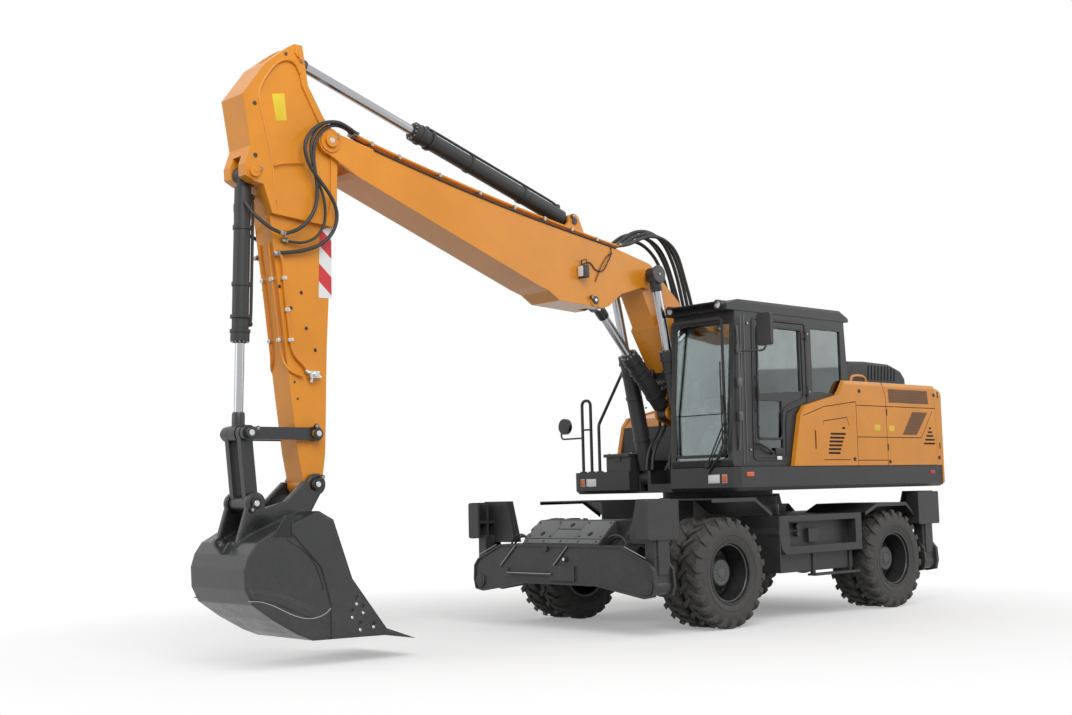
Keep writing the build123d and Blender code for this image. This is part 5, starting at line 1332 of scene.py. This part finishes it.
class EXCAVATOR_OT_cab(bpy.types.Operator):
    """Adds the cab's seals, wiper, handles, lamps' lenses and the mirror faces"""

    bl_idname = "excavator.cab"
    bl_label = "Cab outside"

    def execute(self, context):
        seals = bmesh.new()
        opening = [(880, 1592), (838, 3022), (-62, 3022), (-62, 2172), (305, 2056), (330, 1592)]
        add_frame(seals, opening, 26, 70, 1198, 1207)
        add_frame(seals, [(470, 1632), (1140, 1632), (1140, 3010), (470, 3010)], 30, 60, 1199, 1208, "front")
        piece("cab_seals", seals, "upper", "seal")
        seals = bmesh.new()
        opening = [(800, 1800), (764, 2950), (10, 2950), (10, 2225), (366, 2108), (392, 1800)]
        add_frame(seals, opening, 22, 60, 1196, 1209)
        piece("door_seal", seals, "door", "seal")

        wiper = bmesh.new()
        add_turned(wiper, [(0, 0), (0, 30), (22, 30), (30, 22), (30, 0)], at(1201, 1555, 890), (1, 0, 0), 24)
        add_tube(wiper, [(1226, 1540, 890), (1226, 1985, 1140), (1222, 2240, 1110)], 8, False)
        add_tube(wiper, [(1226, 1560, 930), (1226, 1960, 1172)], 7, False)
        add_block(wiper, (1212, 1760, 1092), (1224, 2560, 1104), 3)
        add_tube(wiper, [(1224, 2060, 1124), (1230, 2130, 1112), (1222, 2240, 1098)], 9)
        piece("windscreen_wiper", wiper, "upper", "seal")

        bars = bmesh.new()
        add_tube(
            bars,
            [
                (1216, 1470, 905), (1232, 1560, 960), (1234, 1700, 1150), (1234, 1800, 1215), (1228, 2150, 1222),
                (1205, 2210, 1212),
            ], 11,
        )
        add_tube(bars, [(1234, 1640, 1060), (1236, 1840, 1160), (1230, 1990, 1215)], 10)
        piece("cab_grab_rail", bars, "upper", "seal")

        rail = bmesh.new()
        add_tube(rail, [(1100, 1700, 1204), (1100, 1712, 1236), (1076, 2900, 1236), (1076, 2912, 1204)], 13)
        for u, z in ((1094, 1980), (1088, 2310), (1081, 2640)):
            add_plate(rail, [(u - 22, z), (u + 22, z), (u + 22, z + 90), (u - 22, z + 90)], 1202, 1242, 6)
        piece("pillar_rail", rail, "upper", "lock_ring")
        strips = bmesh.new()
        for low_u, high_u in ((968, 980), (1022, 1034)):
            add_plate(strips, [(low_u, 1560), (high_u, 1560), (high_u - 20, 3030), (low_u - 20, 3030)], 1199, 1205, 2)
        piece("pillar_strips", strips, "upper", "plate_grey")

        handle = bmesh.new()
        add_tube(
            handle,
            [(845, 1770, 1204), (830, 1768, 1240), (690, 1705, 1246), (600, 1668, 1240), (590, 1664, 1204)], 13,
        )
        add_plate(handle, [(400, 1650), (530, 1650), (530, 1720), (400, 1720)], 1203, 1212, 5)
        add_tube(handle, [(806, 2080, 1204), (806, 2090, 1240), (800, 2420, 1242), (799, 2430, 1204)], 9)
        add_plate(handle, [(760, 2200), (800, 2200), (800, 2330), (760, 2330)], 1203, 1214, 5)
        piece("door_handles", handle, "door", "seal")
        lock = bmesh.new()
        add_plate(lock, [(440, 1600), (520, 1600), (520, 1636), (440, 1636)], 1203, 1218, 4)
        piece("door_lock", lock, "door", "steel")

        lenses = bmesh.new()
        rings = bmesh.new()
        for y in (495, 1115):
            spot, ahead = at(1242, 3122, y), (1, 0, -0.05)
            add_turned(lenses, [(0, 0), (0, 38), (5, 34), (9, 22), (10, 0)], spot, ahead, 32)
            add_turned(rings, [(-4, 46), (12, 48), (14, 42), (2, 38), (-4, 40)], spot, ahead, 36, closed=True)
        piece("roof_lamp_lenses", lenses, "upper", "white_lens")
        piece("roof_lamp_rims", rings, "upper", "seal")

        glass = bmesh.new()
        outline = rounded_loop([(1350, 2734), (1480, 2734), (1480, 3010), (1350, 3010)], 30)
        add_plate(glass, outline, 873, 875.5, 0, "front")
        piece("mirror_glass", glass, "upper", "mirror")
        for name, finish, profile in (
            ("back", "casing", [(921, 0), (923, 40), (919, 74), (922, 86), (925, 84), (928, 60), (930, 0)]),
            ("face", "mirror", [(876, 0), (877, 50), (879.5, 82), (881, 82), (881, 0)]),
        ):
            part = bmesh.new()
            add_turned(part, profile, at(0, 2056, -1412), (1, 0, 0), 40)
            piece(f"round_mirror_{name}", part, "upper", finish)
        spots = ((-80, 2300), (-80, 2900), (-75, 1700), (905, 2950), (920, 1700))
        screws = [(at(u, z, 1206), LEFT, (1, 0, 0)) for u, z in spots]
        set_out("cab_screws", bolt_shape(9, 8), screws, "upper", "zinc")
        return {"FINISHED"}


class EXCAVATOR_OT_interior(bpy.types.Operator):
    """Adds what shows through the glass: column, steering wheel, consoles, levers, pedals and display"""

    bl_idname = "excavator.interior"
    bl_label = "Cab inside"

    def execute(self, context):
        low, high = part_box("seat")
        middle = (low[1] + high[1]) / 2 * 1000
        front = (high[0] - SLEW_X) * 1000
        trim = bmesh.new()
        for side in (-1, 1):
            y = middle + side * 285
            arm_rest = ((-520, 1960), (-90, 1985), (-20, 2040), (10, 2110), (-60, 2130), (-520, 2110))
            add_plate(trim, [(front + u, z) for u, z in arm_rest], y - 60, y + 60, 16)
            lever = ((-40, 2100), (-30, 2170), (-15, 2230), (-10, 2300))
            add_tube(trim, [(front + u, z, y) for u, z in lever], 17)
            knob = [(0, 0), (0, 20), (30, 30), (90, 33), (120, 26), (126, 0)]
            add_turned(trim, knob, at(front - 12, 2262, y), (0.15, 0, 1), 20)
            y = middle + side * 110
            add_block(trim, (960, 1560, y - 50), (1090, 1580, y + 50), 6)
            add_tube(trim, [(1000, 1575, y), (1010, 1720, middle + side * 105), (990, 1800, middle + side * 100)], 10)
        add_tube(trim, [(1010, 1545, middle), (960, 1800, middle), (880, 2090, middle)], 42)
        column = [(1030, 1545), (1110, 1545), (1060, 1900), (960, 1960), (900, 1960)]
        add_plate(trim, column, middle - 110, middle + 110, 30)
        add_block(trim, (960, 2160, 452), (1010, 2420, 640), 14)
        add_tube(trim, [(1120, 1600, 470), (1100, 2000, 470), (990, 2260, 500)], 12)
        add_plate(trim, [(-700, 1545), (-700, 2150), (-560, 2150), (-480, 1900), (-480, 1545)], 450, 1120, 30)
        add_plate(trim, [(-760, 2960), (1090, 3010), (1090, 3040), (-760, 3040)], 440, 1160, 10)
        piece("cab_controls", trim, "upper", "trim")
        wheel = bmesh.new()
        hub = at(865, 2130, middle)
        axis = Vector((-0.42, 0, 0.9)).normalized()
        turns = [step * math.pi / 4 for step in range(8)]
        loop = [(14 * math.cos(turn), 190 + 14 * math.sin(turn)) for turn in turns]
        add_turned(wheel, loop, hub, axis, 48, closed=True)
        add_turned(wheel, [(-50, 0), (-50, 34), (-6, 46), (8, 40), (12, 0)], hub, axis, 28)
        across = axis.cross(LEFT).normalized()
        for step in range(3):
            turn = 2 * math.pi * step / 3 + 0.5
            out = across * math.cos(turn) + LEFT * math.sin(turn)
            ends = [hub + out * 0.03 - axis * 0.02, hub + out * 0.19]
            add_tube(wheel, [placed(end) for end in ends], 12, False)
        piece("steering_wheel", wheel, "upper", "seal")
        screen = bmesh.new()
        add_block(screen, (952, 2185, 468), (961, 2395, 624), 2)
        piece("cab_display", screen, "upper", "screen")
        return {"FINISHED"}


# ---------------------------------------------------------------- upper structure

GRILLES = [
    [(-1460, 2222), (-2262, 2222), (-2240, 2372), (-1449, 2372)],
    [(-1705, 1872), (-1990, 1872), (-2232, 2128), (-1921, 2128)],
]
# how far apart in millimetres the perforations of the grilles stand, along a row and from row to row
PIT_PITCH = 20
PIT_ROW = 17.3
COVER_SEAMS = [
    ((-831, 1530), (-831, 2215)), ((-1400, 1530), (-1400, 2270)), ((-1400, 2270), (-1330, 2438)),
    ((-831, 2177), (-2500, 2177)), ((-831, 1840), (-2085, 1840)), ((-2085, 1840), (-2330, 2140)),
    ((110, 2050), (-260, 2150)), ((-260, 2150), (-831, 2215)), ((-240, 2000), (-650, 2045)),
    ((-650, 2045), (-690, 1960)), ((-240, 2000), (-225, 1960)), ((-225, 1598), (-690, 1598)),
    ((-1400, 1592), (-831, 1592)),
]
COVER_SLOTS = [
    ((-88, 1710), (-88, 1900)), ((-303, 1668), (-512, 1668)), ((-308, 1708), (-532, 1708)),
    ((-318, 1748), (-552, 1748)), ((-328, 1788), (-572, 1788)), ((-338, 1828), (-597, 1828)),
    ((-353, 1868), (-622, 1868)), ((-563, 1930), (-617, 1930)), ((-2131, 1777), (-2366, 1777)),
    ((-2163, 1820), (-2362, 1820)), ((-2193, 1863), (-2337, 1863)), ((-2223, 1906), (-2317, 1906)),
    ((-2248, 1949), (-2297, 1949)),
]


def add_strip(bm, start, end, width, low_y, high_y):
    """A straight strip on a side view's plane, between two depths."""
    first, last = Vector(start), Vector(end)
    out = (last - first).normalized().orthogonal() * width / 2
    add_plate(bm, [first + out, first - out, last - out, last + out], low_y, high_y)


def inside(outline, spot, margin):
    """Whether a spot lies in a convex outline, and clear of its sides."""
    signs = []
    for number, corner in enumerate(outline):
        here, after = Vector(corner), Vector(outline[(number + 1) % len(outline)])
        run = (after - here).normalized()
        signs.append(run.cross(Vector(spot) - here))
    return all(s > margin for s in signs) or all(s < -margin for s in signs)


class EXCAVATOR_OT_covers(bpy.types.Operator):
    """Adds the side covers' perforated meshes with painted shade in their holes, the seams and slots in painted
    shade, locks, hinges and plain plates, and the hood's grip
    """

    bl_idname = "excavator.covers"
    bl_label = "Covers"

    def execute(self, context):
        mesh = bmesh.new()
        pits = []
        for outline in GRILLES:
            add_plates(mesh, outline, COVER_FACE - 8, COVER_FACE + 1)
            widths, heights = zip(*outline)
            row = 0
            z = min(heights) + 12
            while z < max(heights):
                u = min(widths) + (row % 2) * PIT_PITCH / 2
                while u < max(widths):
                    if inside(outline, (u, z), 8):
                        pits.append((u, z))
                    u += PIT_PITCH
                z += PIT_ROW
                row += 1
        piece("cover_meshes", mesh, "upper", "mesh_brown")
        # painted shade: a near-black disc stands for each perforation
        hole = bmesh.new()
        add_turned(hole, [(0, 5.6), (0.5, 5.2), (0.5, 0)], ORIGIN, UP, 6)
        set_out("cover_perforations", hole, sides_of(pits, COVER_FACE + 1), "upper", "pit")

        # painted shade: near-black strips sit in the seams and slots between covers
        seams = bmesh.new()
        for hand in (-1, 1):
            for start, end in COVER_SEAMS:
                add_strip(seams, start, end, 9, hand * (COVER_FACE - 5), hand * (COVER_FACE - 2.5))
            for start, end in COVER_SLOTS:
                add_strip(seams, start, end, 16, hand * (COVER_FACE - 15), hand * (COVER_FACE - 6))
        piece("cover_seams", seams, "upper", "pit")

        hinges = bmesh.new()
        for u, z in ((-1408, 1700), (-1408, 2080), (-2462, 1720), (-2462, 2300)):
            add_tubes(hinges, [(u, z, COVER_FACE + 2), (u, z + 70, COVER_FACE + 2)], 6, False)
        plates = bmesh.new()
        for low_u, high_u, low_z, high_z in ((-1270, -1165, 1915, 1975), (-1545, -1445, 1908, 1970)):
            outline = rounded_loop([(low_u, low_z), (high_u, low_z), (high_u, high_z), (low_u, high_z)], 10)
            add_plates(plates, outline, COVER_FACE - 0.5, COVER_FACE + 1.5)
        lock = bmesh.new()
        add_turned(lock, [(0, 0), (0, 21), (5, 21), (7, 17), (5, 13), (5, 0)], ORIGIN, UP, 24)
        add_turned(lock, [(4, 0), (4, 6), (8, 6), (8, 0)], ORIGIN, UP, 8)
        spots = ((-767, 1605), (-1435, 1577), (-2440, 1620), (-900, 2330), (-2380, 2330))
        set_out("cover_locks", lock, sides_of(spots, COVER_FACE), "upper", "seal")
        piece("cover_hinges", hinges, "upper", "link_paint")
        piece("cover_plain_plates", plates, "upper", "label")

        grip = bmesh.new()
        add_tube(
            grip,
            [
                (u, z, 1000)
                for u, z in ((-1120, 2438), (-1130, 2500), (-1160, 2530), (-1380, 2530), (-1410, 2500), (-1420, 2438))
            ], 17,
        )
        piece("cover_top_grip", grip, "upper", "amber_paint")
        feet = bmesh.new()
        for u in (-1120, -1420):
            add_turned(feet, [(2437, 0), (2437, 34), (2446, 34), (2450, 28), (2450, 0)], at(u, 0, 1000), UP, 24)
        piece("cover_grip_feet", feet, "upper", "casing")
        return {"FINISHED"}


class EXCAVATOR_OT_deck(bpy.types.Operator):
    """Adds the deck's orange and white lenses, reflectors, tread plates, filler cap and bolts on the right side"""

    bl_idname = "excavator.deck"
    bl_label = "Deck and right side"

    def execute(self, context):
        white, orange = bmesh.new(), bmesh.new()
        for u, hand in ((1210, 1), (970, -1)):
            for bm, low_y, high_y in ((white, 893, 1032), (orange, 1068, 1122)):
                first, last = sorted((hand * low_y, hand * high_y))
                outline = rounded_loop([(first, 1386), (last, 1386), (last, 1460), (first, 1460)], 12)
                add_plate(bm, outline, u - 6, u - 1, 1, "front")
            outline = rounded_loop([(u - 270, 1440), (u - 155, 1440), (u - 155, 1484), (u - 270, 1484)], 20)
            add_plate(orange, outline, hand * 1246, hand * 1252, 1.5)
        piece("deck_white_lenses", white, "upper", "white_lens")
        piece("deck_orange_lenses", orange, "upper", "orange_lens")
        rear = bmesh.new()
        outline = rounded_loop([(-2340, 1440), (-2240, 1440), (-2240, 1480), (-2340, 1480)], 16)
        add_plates(rear, outline, 1246, 1251, 1.5)
        piece("deck_rear_reflectors", rear, "upper", "red_lens")
        tread = bmesh.new()
        add_plate(tread, [(310, -1085), (535, -1085), (535, -440), (310, -440)], 1651, 1655, 1, "top")
        piece("step_plate", tread, "upper", "plate_grey")
        studs = [
            (at(335 + i * 43, 1655, -1060 + k * 49), UP, (1, 1 if (i + k) % 2 else -1, 0))
            for i in range(5) for k in range(13)
        ]
        stud = bmesh.new()
        add_block_local(stud, 0.026, 0.007, 0.005)
        set_out("step_treads", stud, studs, "upper", "plate_grey")
        cap = bmesh.new()
        profile = [(2300, 0), (2300, 62), (2312, 66), (2340, 66), (2346, 60), (2346, 22), (2354, 20), (2354, 0)]
        add_turned(cap, profile, at(-100, 0, -560), UP, 36)
        piece("filler_cap", cap, "upper", "seal")
        bolts = [(at(u, 1724, y), UP, (1, 0, 0)) for u in (600, 900) for y in (-740, -420)]
        bolts += [(at(u, 2270, -1060), (0, -1, 0.3), (1, 0, 0)) for u in (-420, -60, 200)]
        set_out("right_side_bolts", bolt_shape(11, 9), bolts, "upper", "zinc")
        return {"FINISHED"}


def add_block_local(bm, length, width, height):
    """A small softened bar that lies along X about its own middle, standing up along Z."""
    scale = Matrix.Diagonal((length, width, height, 1))
    made = bmesh.ops.create_cube(bm, size=1.0, matrix=Matrix.Translation((0, 0, height / 2)) @ scale)
    round_off(bm, made["verts"], height * 400, 1)


# ---------------------------------------------------------------- chassis and stands


# thickness in millimetres of the tread sheets on the sloping cover
SHEET_THICKNESS = 5


class EXCAVATOR_OT_chassis(bpy.types.Operator):
    """Adds the ring's bolts, the sloping cover with its sheets, bolts and openings, the stands' hoses, the beams'
    pale edge strips (worn metal and partly a painted highlight) and a boss on the beam
    """

    bl_idname = "excavator.chassis"
    bl_label = "Chassis and stands"

    def execute(self, context):
        set_out("ring_bolts", bolt_shape(12, 14), ring_places(at(0, 1258), UP, 560, 36), "chassis", "zinc")
        # sloping cover from the beam's front plate up to the frame's top, with its tread sheets
        low, high = Vector((2404, 832)), Vector((2152, 1050))
        wedge = bmesh.new()
        outline = [(2404, 824), (2404, 832), (2152, 1050), (1990, 1050), (1990, 1036), (2142, 1036), (2142, 824)]
        add_plate(wedge, outline, -530, 530, 3)
        piece("front_sloping_cover", wedge, "chassis", "frame_paint")
        run = (high - low).normalized()
        rise = Vector((run.y, -run.x)) * SHEET_THICKNESS
        sheet = bmesh.new()
        for y0, y1, s0, s1 in (
            (-522, 522, 0.03, 0.20), (-522, -170, 0.23, 0.97), (170, 522, 0.23, 0.97), (-165, 165, 0.23, 0.60),
            (-165, 165, 0.64, 0.97),
        ):
            foot, head = low.lerp(high, s0), low.lerp(high, s1)
            add_plate(sheet, [foot, head, head + rise, foot + rise], y0, y1, 1.2)
        add_plate(sheet, [(2146, 1050), (2000, 1050), (2000, 1056), (2146, 1056)], -522, 522, 1.2)
        piece("sloping_cover_sheets", sheet, "chassis", "plate_grey")
        # painted shade: near-black discs stand for the openings in the sloping cover
        opening = bmesh.new()
        add_turned(opening, [(0, 30), (1.2, 29), (1.2, 0)], ORIGIN, UP, 24)
        for name, shape, finish, rows in (
            ("sloping_cover_bolts", bolt_shape(10, 7), "stud", (
                (0.11, (-480, -240, 0, 240, 480)), (0.32, (-490, -200, 200, 490)), (0.90, (-490, -200, 200, 490)),
            )),
            ("sloping_cover_openings", opening, "pit", ((0.42, (-330, 330)), (0.80, (0,)))),
        ):
            places = []
            for share, ys in rows:
                foot = low.lerp(high, share) + rise
                places += [(at(foot.x, foot.y, y), (rise.x, 0, rise.y), LEFT) for y in ys]
            set_out(name, shape, places, "chassis", finish)

        hoses = bmesh.new()
        for middle in (2275, -2180):
            for u, lift in ((middle - 22, 0), (middle + 22, 22)):
                add_tubes(
                    hoses,
                    [
                        (u, 822, 540), (u, 880 + lift, 560), (u, 905 + lift, 660), (u, 880 + lift, 770),
                        (u, 800, 810), (u, 700, 815),
                    ], 11,
                )
        piece("stand_hoses", hoses, "chassis", "hose")
        # pale metal strips along the beam's edges: worn metal, and partly a painted highlight
        edges = bmesh.new()
        for y0, z0, y1, z1, u in (
            (-834, 614, -602, 815, 2425), (-64, 630, 133, 815, 2425), (-716, 549, -80, 549, 2445),
            (-1150, 718, -885, 820, 2427), (1150, 718, 885, 820, 2427),
        ):
            add_tube(edges, [(u, z0, y0), (u, z1, y1)], 4.5, False)
        piece("beam_worn_edges", edges, "chassis", "worn_edge")
        boss = bmesh.new()
        add_disc(boss, at(2437, 690, 93), (1, 0, 0), 15, 6, 2)
        piece("beam_boss", boss, "chassis", "steel")
        return {"FINISHED"}


# ---------------------------------------------------------------- studio


# the eye's place in metres and its angles in radians, then its focal length and the picture's width
EYE = (10.1442, 9.7768, 1.3403)
YAW, PITCH, ROLL = -2.323, 0.096, -0.024
FOCUS, PICTURE_WIDTH = 1394.4, 1072
SENSOR_WIDTH = 36.0
FLOOR_REACH = 60.0
# greys that the floor shows: to the undersides it lights, and to the eye
FLOOR_BELOW = (0.42, 0.42, 0.42)
FLOOR_SEEN = (0.96, 0.96, 0.96)
# how far out in metres the floor starts to glow and where it is at its full share
GLOW_FROM, GLOW_TO = 2.6, 6.5
GLOW_LEAST = 0.28
LIGHTS = (
    # name, place, what it is aimed at, width of its square
    ("key", (7.0, 9.0, 10.0), (-0.5, 0, 1.5), 9),
    ("rear_fill", (-9.0, 7.0, 7.0), (-1.5, 0, 1.5), 8),
    ("far_fill", (12.0, -4.0, 6.0), (0.5, 0, 1.5), 8),
)


def area_light(name, place, aim, size, power):
    """A square light that faces what it is aimed at."""
    data = bpy.data.lights.new(name, "AREA")
    data.shape = "RECTANGLE"
    data.size = data.size_y = size
    data.energy = power
    lamp = bpy.data.objects.new(name, data)
    bpy.context.collection.objects.link(lamp)
    lamp.location = place
    lamp.rotation_euler = (Vector(aim) - Vector(place)).to_track_quat("-Z", "Y").to_euler()


def white_where_seen(tree):
    """One for what the camera sees directly, in gloss or through glass."""
    seen = tree.nodes.new("ShaderNodeLightPath").outputs
    share = maths(tree, "MAXIMUM", seen["Is Camera Ray"], seen["Is Transmission Ray"])
    return maths(tree, "MAXIMUM", share, seen["Is Glossy Ray"])


class EXCAVATOR_OT_studio(bpy.types.Operator):
    """Builds the pale floor, the white surround, the soft lights and the camera"""

    bl_idname = "excavator.studio"
    bl_label = "Studio"

    def execute(self, context):
        scene = context.scene
        studio = scene.excavator_studio
        scene.view_settings.view_transform = "Standard"

        world = bpy.data.worlds.new("white_surround")
        scene.world = world
        world.use_nodes = True
        tree = world.node_tree
        tree.nodes.clear()
        white = add_node(tree, "ShaderNodeBackground", Color=(1, 1, 1, 1), Strength=1.0)
        light = add_node(tree, "ShaderNodeBackground", Color=(1, 1, 1, 1), Strength=studio.sky)
        mixed = mix_shaders(tree, white_where_seen(tree), light, white)
        output = tree.nodes.new("ShaderNodeOutputWorld")
        tree.links.new(mixed.outputs[0], output.inputs["Surface"])

        mesh = bpy.data.meshes.new("floor")
        corners = [(x * FLOOR_REACH, y * FLOOR_REACH, 0) for x, y in ((-1, -1), (1, -1), (1, 1), (-1, 1))]
        mesh.from_pydata(corners, [], [(0, 1, 2, 3)])
        floor = bpy.data.objects.new("floor", mesh)
        context.collection.objects.link(floor)
        material, tree = fresh_material("pale_floor")
        away = add_node(tree, "ShaderNodeVectorMath", set_operation="LENGTH", i0=object_place(tree)).outputs["Value"]
        seen = white_where_seen(tree)
        matt = add_node(tree, "ShaderNodeBsdfDiffuse", Color=blend_colours(tree, seen, FLOOR_BELOW, FLOOR_SEEN))
        bright = add_node(tree, "ShaderNodeEmission", Color=(1, 1, 1, 1), Strength=1.0)
        glow = maths(tree, "MULTIPLY", ramp(tree, away, GLOW_FROM, GLOW_TO, GLOW_LEAST, 1.0), seen)
        close_material(tree, mix_shaders(tree, glow, matt, bright))
        mesh.materials.append(material)

        for name, *settings in LIGHTS:
            area_light(name, *settings, studio.key_power if name == "key" else studio.fill_power)

        data = bpy.data.cameras.new("viewer")
        data.sensor_width = SENSOR_WIDTH
        data.lens = FOCUS / PICTURE_WIDTH * SENSOR_WIDTH
        data.clip_end = 300
        camera = bpy.data.objects.new("viewer", data)
        context.collection.objects.link(camera)
        ahead = Vector((math.cos(YAW) * math.cos(PITCH), math.sin(YAW) * math.cos(PITCH), math.sin(PITCH)))
        right = ahead.cross(UP).normalized()
        up = right.cross(ahead)
        level = Matrix((right, up, -ahead)).transposed().to_4x4()
        camera.matrix_world = Matrix.Translation(EYE) @ level @ Matrix.Rotation(ROLL, 4, "Z")
        scene.camera = camera
        return {"FINISHED"}


# ---------------------------------------------------------------- panel and run


class EXCAVATOR_PT_panel(bpy.types.Panel):
    """Lists the dressing steps"""

    bl_label = "Wheeled excavator"
    bl_idname = "EXCAVATOR_PT_panel"
    bl_space_type = "VIEW_3D"
    bl_region_type = "UI"
    bl_category = "Excavator"

    def draw(self, context):
        column = self.layout.column()
        for key in SETTINGS:
            settings = getattr(context.scene, key)
            for name in settings.bl_rna.properties.keys():
                if name not in {"rna_type", "name"}:
                    column.prop(settings, name)
        for step in STEPS:
            column.operator(step.bl_idname)


SETTINGS = {
    "excavator_paint": ExcavatorPaint,
    "excavator_tread": ExcavatorTread,
    "excavator_hoses": ExcavatorHoses,
    "excavator_studio": ExcavatorStudio,
}
STEPS = (
    EXCAVATOR_OT_finishes,
    EXCAVATOR_OT_tyres,
    EXCAVATOR_OT_wheels,
    EXCAVATOR_OT_bucket,
    EXCAVATOR_OT_arm,
    EXCAVATOR_OT_booms,
    EXCAVATOR_OT_hoses,
    EXCAVATOR_OT_cylinders,
    EXCAVATOR_OT_cab,
    EXCAVATOR_OT_interior,
    EXCAVATOR_OT_covers,
    EXCAVATOR_OT_deck,
    EXCAVATOR_OT_chassis,
    EXCAVATOR_OT_studio,
)
CLASSES = (*SETTINGS.values(), *STEPS, EXCAVATOR_PT_panel)


def register():
    for cls in CLASSES:
        bpy.utils.register_class(cls)
    for key, settings in SETTINGS.items():
        setattr(bpy.types.Scene, key, bpy.props.PointerProperty(type=settings))


def unregister():
    for key in reversed(SETTINGS):
        delattr(bpy.types.Scene, key)
    for cls in reversed(CLASSES):
        bpy.utils.unregister_class(cls)


def main():
    register()
    for step in STEPS:
        group, name = step.bl_idname.split(".")
        getattr(getattr(bpy.ops, group), name)()
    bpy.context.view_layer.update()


if __name__ == "__main__":
    main()
